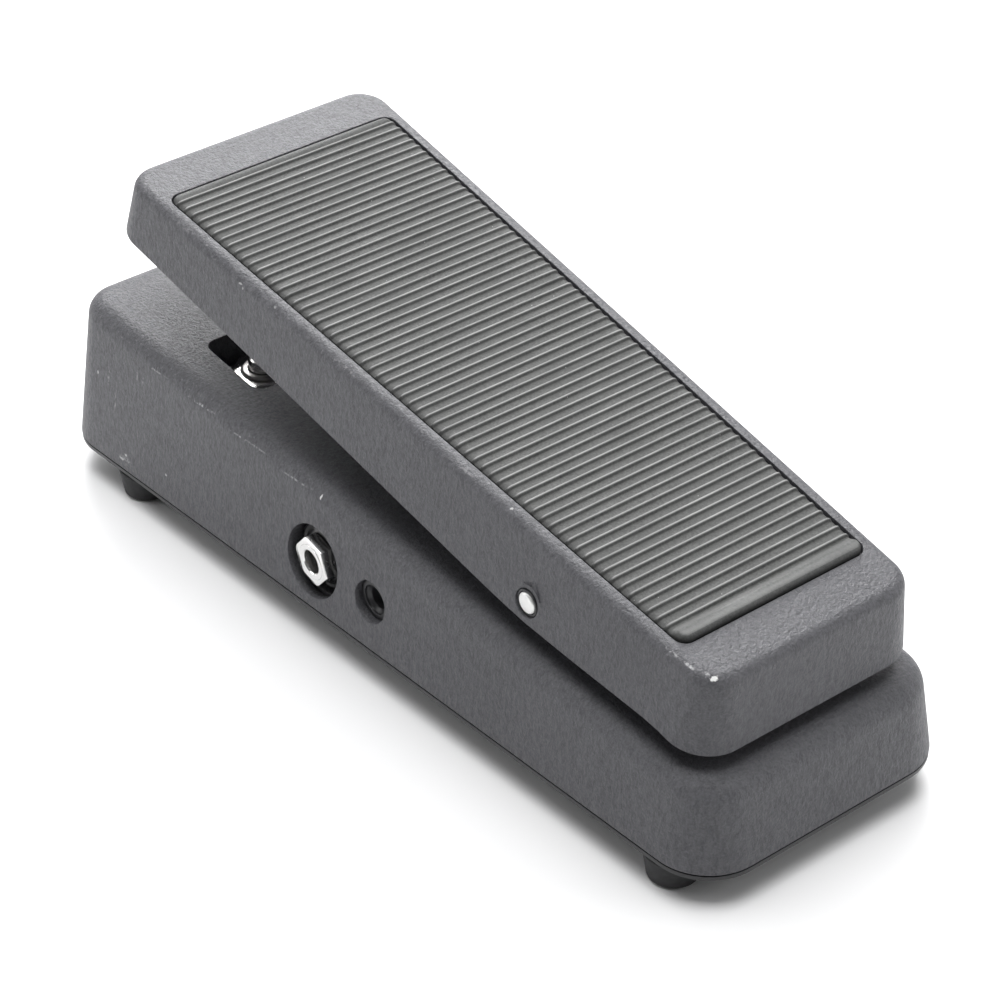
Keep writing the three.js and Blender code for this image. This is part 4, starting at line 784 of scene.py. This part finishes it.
# ------------------------------------------------------------------ ribbed rubber tread
def build_pad():
    k = (PAD_HALF_TOE - PAD_HALF_HEEL) / (PAD_TOE - PAD_HEEL)
    s0, s1 = PAD_HEEL + PAD_GAP, PAD_TOE - 0.3
    r = PAD_CORNER - PAD_GAP
    low = -PAD_RECESS + GAP

    def half(s):
        h = PAD_HALF_HEEL + k * (s - PAD_HEEL) - PAD_GAP
        d = min(s - s0, s1 - s)
        if d < r:
            h -= r - math.sqrt(max(r * r - (r - d) ** 2, 0.0))
        return h

    def bump_profile(s):
        """(height, is a rib) of the top along the tread's middle"""
        if s < -100.35:  # heel bead: a rise, a rounded nose, a steep end
            up = min(1.0, (-100.35 - s) / 2.9)
            lift = 1.32 * up * up * (3 - 2 * up)
            e = s - s0
            if e < 1.25:
                lift -= 1.25 * (1 - math.sqrt(max(0.0, 1 - (1 - e / 1.25) ** 2)))
            # the second value lays the pale crest colour, partly wear and partly painted highlight, along the bead's
            # top
            return lift, 0.75 * max(0.0, up - 0.45) / 0.55 if e > 0.5 else 0.2
        if s > 86.4:  # toe bead
            t = (s - 86.4) / (s1 - 86.4)
            lift = 0.40 * math.sin(PI * min(1.0, t)) ** 0.7 if 0 < t < 1 else 0.0
            return lift - 0.45 * max(0.0, (t - 0.65) / 0.35) ** 2, 0.12
        i = round((RIB_FIRST - s) / RIB_PITCH)
        if i < 0 or i >= RIBS:
            return 0.0, 0.0
        t = abs(s - (RIB_FIRST - i * RIB_PITCH)) / 0.66
        if t >= 1:
            return 0.0, 0.0
        h = math.cos(PI * t / 2) ** 1.15
        return 0.70 * h, h

    rows = [s0]
    for i in range(1, 9):
        rows.append(s0 + r * (1 - math.cos(PI / 2 * i / 8)))
    s = rows[-1]
    while s < -100.5:
        s += 0.2
        rows.append(min(s, -100.45))
    for i in range(RIBS - 1, -1, -1):
        c = RIB_FIRST - i * RIB_PITCH
        for t in (-0.95, -0.70, -0.60, -0.48, -0.34, -0.18, 0.0, 0.18, 0.34, 0.48, 0.60, 0.70, 0.95):
            v = c + t
            if v > rows[-1] + 0.02:
                rows.append(v)
    tail = [86.25]
    while tail[-1] < s1 - r - 0.1:
        tail.append(tail[-1] + 0.25)
    for i in range(8, -1, -1):
        tail.append(s1 - r * (1 - math.cos(PI / 2 * i / 8)))
    for v in tail:
        if v > rows[-1] + 0.02:
            rows.append(v)
    rows[-1] = s1
    inset = [0.0, 0.0, 0.05, 0.15, 0.3, 0.45, 0.6, 0.8, 1.0, 1.2, 1.45, 1.7, 2.0, 2.4, 3.2, 4.5]
    drop = [low, -0.95, -0.72, -0.58, -0.48, -0.40, -0.33, -0.25, -0.17, -0.10, -0.05, -0.02] + [0.0] * 4
    mids = 9

    def fade(e):
        t = min(1.0, max(0.0, e / 1.35))
        return math.sqrt(max(0.0, 1 - (1 - t) ** 2))

    verts, height = [], []
    per = len(inset) * 2 + mids
    for s in rows:
        h = half(s)
        z, rib = bump_profile(s)
        bead = s < -100.35 or s > 86.4
        line = []
        for sign, order in ((-1, range(len(inset))), (0, range(mids)), (1, range(len(inset) - 1, -1, -1))):
            for j in order:
                if sign == 0:
                    u = -1 + 2 * (j + 1) / (mids + 1)
                    line.append((u * (h - inset[-1]), z, rib))
                else:
                    e = inset[j]
                    f = fade(e)
                    if bead:
                        zz = low if j == 0 else max(low + 0.1, z - 1.15 * (1 - f) + 0.25 * drop[j])
                    else:
                        zz = drop[j] + (z - 0.35 * drop[j] * rib) * f if j else low
                    line.append((sign * (h - e), zz, rib * f))
        for x, zz, hh in line:
            verts.append((x, s, zz))
            # height: 1 on rib crests, 0 on the flat, negative where the edge drops into the gap, where the material
            # paints shade
            height.append(hh if zz > -0.25 else -1.0 if zz < -0.6 else -0.35 + 0.3 * hh)
    faces = []
    for i in range(len(rows) - 1):
        for j in range(per):
            a, b = i * per + j, i * per + (j + 1) % per
            faces.append((a, b, b + per, a + per))
    faces.append(tuple(range(per)))
    faces.append(tuple((len(rows) - 1) * per + j for j in range(per))[::-1])
    o = make("tread_sheet", verts, faces)
    attribute(o, "height", height)
    o.data.transform(TREAD_M)
    return done(o, "treadle_body", "tread_rubber", MAT["tread"], "tread_pad", angle=50)


build_pad()

# ------------------------------------------------------------------ axle, bushings, set screws, stops
axle = lathe("axle_rod", [(0, -36.2), (2.45, -36.18), (AXLE_R, -35.85), (AXLE_R, 35.85), (2.45, 36.18), (0, 36.2)], 64, "x", (PIVOT_Y, PIVOT_Z), 0.06, 2)
done(axle, "base", "steel_bright", MAT["steel_bright"], "pivot_axle", angle=40)
for where, s in (("left", -1), ("right", 1)):
    ax = "x" if s > 0 else "-x"
    bush = lathe("axle_bush_" + where, [(3.0, 30.8), (5.6, 30.8), (5.6, 31.5), (3.5, 31.5), (3.5, 35.8), (3.0, 35.8)], 64, ax, (PIVOT_Y, PIVOT_Z), 0.12, 2, tube=True)
    done(bush, "treadle_body", "plastic_black", MAT["plastic"], "treadle_bushing_" + where, angle=40)
    grub = lathe("grub_screw_" + where, [(0, PIVOT_Z + AXLE_R + 0.25), (1.2, PIVOT_Z + AXLE_R + 0.25), (2.0, PIVOT_Z + 3.7)] +
                 [(2.0 - 0.16 * (i % 2), PIVOT_Z + 3.7 + 0.25 * i) for i in range(1, 12)] + [(1.7, PIVOT_Z + 7.0), (0, PIVOT_Z + 7.0)], 40, "z", (s * 26.5, PIVOT_Y))
    hexa = [(s * 26.5 + 1.15 * math.cos(PI / 3 * i), PIVOT_Y + 1.15 * math.sin(PI / 3 * i)) for i in range(6)]
    cut(grub, prism_z("key", hexa, PIVOT_Z + 5.2, PIVOT_Z + 8))
    done(grub, "base", "steel_dark", MAT["steel_dark"], "axle_set_screw_" + where, angle=35)

bumper = lathe("bumper", [(0, BUMPER_BOTTOM), (5.2, BUMPER_BOTTOM), (6.3, BUMPER_BOTTOM + 1.0), (6.3, BUMPER_TOP - 0.3), (2.0, BUMPER_TOP - 0.3), (2.0, BUMPER_TOP + 5), (0, BUMPER_TOP + 5)], 64, "z", (SWITCH_X, SWITCH_Y), 0.4, 4)
done(bumper, "treadle_body", "rubber_black", MAT["rubber"], "toe_bumper", angle=40)
stop = lathe("heel_stop", [(0, FLOOR + 28.7), (7.0, FLOOR + 28.7), (7.0, FLOOR + 32.1), (6.1, FLOOR + 32.9), (0, FLOOR + 32.9)], 64, "z", (0, -100), 0.35, 4)
done(stop, "base", "rubber_black", MAT["rubber"], "heel_stop_pad", angle=40)


# ------------------------------------------------------------------ hex nuts
def hex_nut(name, axis, c, corner_r, phase, bore, a, b, chamfer_r, chamfer_h, both=True, n=96, lead=0.5):
    """Hex nut along an axis between a and b, with turned chamfers. b is the outer face."""
    pts = [(corner_r * math.cos(phase + PI / 3 * i), corner_r * math.sin(phase + PI / 3 * i)) for i in range(6)]
    if axis == "z":
        o = prism_z(name, [(c[0] + p, c[1] + q) for p, q in pts], a, b)
    else:
        lo, hi = (a, b) if axis == "x" else (-b, -a)
        o = prism_x(name, [(c[0] + p, c[1] + q) for p, q in pts], lo, hi)
    prof = [(0, a - (0 if both else 1)), (chamfer_r, a - (0 if both else 1))]
    if both:
        prof += [(corner_r + 0.3, a + chamfer_h)]
    else:
        prof[1] = (corner_r + 0.3, a - 1)
    prof += [(corner_r + 0.3, b - chamfer_h), (chamfer_r, b), (0, b)]
    combine(o, lathe("chamfer", prof, n, axis, c), "INTERSECT")
    cut(o, lathe("bore", [(0, a - 1), (bore, a - 1), (bore, b - lead), (bore + lead, b + 0.05), (bore + lead, b + 1), (0, b + 1)] if lead else [(0, a - 1), (bore, a - 1), (bore, b + 1), (0, b + 1)], 64, axis, c))
    clean(o)
    bevel(o, 0.1, 2, 25.0)
    return o


# ------------------------------------------------------------------ footswitch
f = POCKET["floor"]
c = (SWITCH_X, SWITCH_Y)
nut = hex_nut("switch_nut", "z", c, 9.4, 0.62, 6.1, f + 0.3, f + 3.0, 8.9, 0.45, both=False, lead=0.2)
done(nut, "base", "nickel", MAT["nickel"], "footswitch_nut", angle=30)
thread = [(5.95 - 0.16 * (i % 2), f + 0.2 + 0.3 * i) for i in range(0, 9)]
bush = lathe("switch_bush", [(4.3, f - 11.6), (5.0, f - 11.6), (5.0, f - 2.6), (5.9, f - 2.6)] + thread + [(5.95, f + 3.2), (5.6, f + 3.75), (4.3, f + 3.8)], 72, "z", c, 0.08, 2, tube=True)
done(bush, "base", "nickel", MAT["dull_nickel"], "footswitch_bushing", angle=35)
plunger = lathe("switch_plunger", [(0, f - 3.0), (4.0, f - 3.0), (4.0, f + 6.2), (3.75, f + 6.9), (3.1, f + 7.4), (2.0, f + 7.7), (0, f + 7.8)], 72, "z", c, 0.25, 4)
done(plunger, "plunger_body", "nickel", MAT["nickel"], "footswitch_plunger", angle=40)

# ------------------------------------------------------------------ jacks
for which, s in (("output", -1), ("input", 1)):
    ax = "x" if s > 0 else "-x"
    c = (JACK_Y, JACK_Z)
    b0 = JACK_BACK - GAP
    face = JACK_OUT + 0.45
    thread = [(4.7 - 0.16 * (i % 2), face - 3.4 + 0.25 * i) for i in range(0, 9)]
    bush = lathe(which + "_bush", [(3.2, b0 - 3.7), (4.7, b0 - 3.7)] + thread + [(4.7, face - 0.9), (4.84, face - 0.7), (4.84, face - 0.05), (4.79, face), (3.5, face), (3.2, face - 0.3)], 72, ax, c, 0.03, 2, tube=True)
    done(bush, "base", "nickel", MAT["nickel"], which + "_jack_bush", angle=35)
    w0 = JACK_FLOOR + 0.3
    washer = lathe(which + "_washer", [(4.95, w0), (9.3, w0), (9.45, w0 + 0.5), (9.0, w0 + 1.25), (8.4, w0 + 1.3), (7.6, w0 + 0.95), (6.6, w0 + 1.3), (4.95, w0 + 1.3)], 96, ax, c, 0.25, 4, tube=True)
    done(washer, "base", "plastic_gloss_black", MAT["gloss"], which + "_jack_washer", angle=45)
    nut = hex_nut(which + "_nut", ax, c, 6.9, 0.2, 4.85, JACK_FLOOR + 1.9, JACK_OUT + 0.4, 6.35, 0.35, both=False, lead=0)
    done(nut, "base", "nickel", MAT["nickel"], which + "_jack_nut", angle=30)

# ------------------------------------------------------------------ DC socket
c = (DC_Y, DC_Z)
dc = block("dc_socket", -38.9, DC_Y - 7, DC_Z - 6.4, -25.5, DC_Y + 7, DC_Z + 6.4)
union(dc, cyl("nose", "x", c, 5.2, -42.6, -38, 96))
cut(dc, cyl("bore", "x", c, 2.95, -50, -31, 64), lathe("mouth", [(0, -44), (4.1, -44), (4.0, -42.0), (2.95, -41.2), (0, -41.2)], 64, "x", c))
clean(dc)
bevel(dc, 0.18, 2, 30.0)
done(dc, "base", "plastic_black", MAT["plastic"], "dc_jack_body", angle=35)
pin = lathe("dc_pin", [(0, -39.4), (0.65, -39.35), (1.05, -38.9), (1.05, -31.4), (0, -31.4)], 40, "x", c, 0.08, 2)
done(pin, "base", "nickel", MAT["dull_nickel"], "dc_jack_pin", angle=40)

# ------------------------------------------------------------------ CAD nodes that stay, with their own finish
KEEP = {
    "clevis_pin": "zinc", "clevis_clip_left": "steel_dark", "clevis_clip_right": "steel_dark", "rack": "nylon", "pinion_gear": "nylon", "pot_shaft": "zinc",
    "pot_body": "zinc", "pot_nut": "nickel", "pot_bracket": "zinc", "bracket_screw_1": "zinc", "bracket_screw_2": "zinc", "rack_guide": "nylon",
    "footswitch_body": "blue", "footswitch_spring": "zinc", "output_jack_body": "plastic", "input_jack_body": "plastic",
    "circuit_board": "board", "board_screw_1": "zinc", "board_screw_2": "zinc", "board_screw_3": "zinc", "inductor": "red_case", "capacitor": "cap_blue",
    "transistor": "plastic", "battery": "battery", "battery_snap": "plastic", "battery_wire_red": "wire_red", "battery_wire_black": "wire_black",
    "switch_wire": "wire_green", "output_wire": "wire_white", "pot_wire": "wire_yellow",
}
SOFT_EDGE = {"rack": 0.12, "pinion_gear": 0.08, "pot_bracket": 0.25, "rack_guide": 0.25, "footswitch_body": 0.3, "output_jack_body": 0.4, "input_jack_body": 0.4,
             "circuit_board": 0.12, "battery": 0.6, "battery_snap": 0.35, "clevis_clip_left": 0.08, "clevis_clip_right": 0.08}
for name, mat in KEEP.items():
    o = NODES[name]
    if not o.material_slots:
        o.data.materials.append(MAT[mat])
    for slot in o.material_slots:
        slot.material = MAT[mat]
    weld = o.modifiers.new("weld", "WELD")
    weld.merge_threshold = 2e-6
    if name in SOFT_EDGE:
        b = o.modifiers.new("edge", "BEVEL")
        b.width = SOFT_EDGE[name] * 0.001
        b.segments = 2
        b.limit_method = "ANGLE"
        b.angle_limit = math.radians(35)
        b.use_clamp_overlap = True

# ------------------------------------------------------------------ floor, light, camera
floor_mesh = bpy.data.meshes.new("floor")
floor_mesh.from_pydata([(1.9 * math.cos(PI * i / 48), 1.9 * math.sin(PI * i / 48), -0.0002) for i in range(96)], [], [tuple(range(96))])
floor = bpy.data.objects.new("studio_floor", floor_mesh)
SCENE.collection.objects.link(floor)
fm = Mat("floor_paper", (0.86, 0.86, 0.865), 0.9)
fm.color(fm.mix(fm.line(fm.noise(3.0, 2.0, 0.5), 0.3, 0.7, 0.0, 1.0), (0.855, 0.857, 0.862), (0.865, 0.866, 0.870)))
fm.bump((fm.noise(900, 2.0, 0.5), 0.1, 0.00002))
floor_mesh.materials.append(fm.m)

world = bpy.data.worlds.new("studio")
world.use_nodes = True
SCENE.world = world
bg = world.node_tree.nodes.get("Background") or world.node_tree.nodes.new("ShaderNodeBackground")
bg.inputs["Color"].default_value = (1.0, 1.0, 1.0, 1)
bg.inputs["Strength"].default_value = 0.16
# the backdrop beyond the floor is white paper; it lights the object much less than it shows
paper = world.node_tree.nodes.new("ShaderNodeBackground")
paper.inputs["Color"].default_value = (1.0, 1.0, 1.0, 1)
paper.inputs["Strength"].default_value = 0.97
seen = world.node_tree.nodes.new("ShaderNodeLightPath")
pick = world.node_tree.nodes.new("ShaderNodeMixShader")
world.node_tree.links.new(seen.outputs["Is Camera Ray"], pick.inputs[0])
world.node_tree.links.new(bg.outputs[0], pick.inputs[1])
world.node_tree.links.new(paper.outputs[0], pick.inputs[2])
world_out = world.node_tree.nodes.get("World Output") or world.node_tree.nodes.new("ShaderNodeOutputWorld")
world.node_tree.links.new(pick.outputs[0], world_out.inputs["Surface"])


def area(name, loc, size, power, target=(0, 0, 0.04), color=(1, 1, 1), size_y=None):
    d = bpy.data.lights.new(name, "AREA")
    d.shape = "RECTANGLE"
    d.size = size
    d.size_y = size_y or size
    d.energy = power
    d.color = color
    o = bpy.data.objects.new(name, d)
    SCENE.collection.objects.link(o)
    o.location = loc
    o.rotation_mode = "QUATERNION"
    o.rotation_quaternion = (Vector(target) - Vector(loc)).to_track_quat("-Z", "Y")
    return o


area("light_top", (0.05, 0.05, 1.5), 1.2, 27.5, (0, 0, 0.05))
area("light_back", (0.75, 0.80, 0.95), 1.0, 8.2, (0, 0, 0.05))
area("light_toe", (0.48, 0.75, 0.55), 0.5, 7.2, (0, 0.05, 0.09))
area("light_toe_high", (0.62, 0.70, 0.75), 0.5, 3.5, (0, 0, 0.09))
area("light_back_left", (-0.85, 1.0, 0.6), 0.8, 4.2, (0, 0, 0.05))
area("light_right", (1.05, -0.82, 0.6), 0.8, 4.9, (0, 0, 0.05))

cam_data = bpy.data.cameras.new("camera")
cam_data.lens = 104.19923796552341
cam_data.sensor_width = 36.0
cam_data.sensor_fit = "HORIZONTAL"
cam_data.clip_start = 0.02
cam_data.clip_end = 50.0
cam = bpy.data.objects.new("camera", cam_data)
SCENE.collection.objects.link(cam)
cam.rotation_mode = "QUATERNION"
rot = Matrix(((0.7871016253253369, 0.3688527438173393, -0.4943871810520915),
              (-0.6166730750649991, 0.45287182799816694, -0.6439110388054216),
              (-0.013614327015731564, 0.811698688420783, 0.5839177076574145)))
cam.rotation_quaternion = rot.to_quaternion()
cam.location = (-0.36120606, -0.47401551, 0.45765567)
SCENE.camera = cam
SCENE.view_settings.view_transform = "Standard"
SCENE.view_settings.look = "None"
SCENE.view_settings.exposure = 0.0
SCENE.view_settings.gamma = 1.0

bpy.context.view_layer.update()
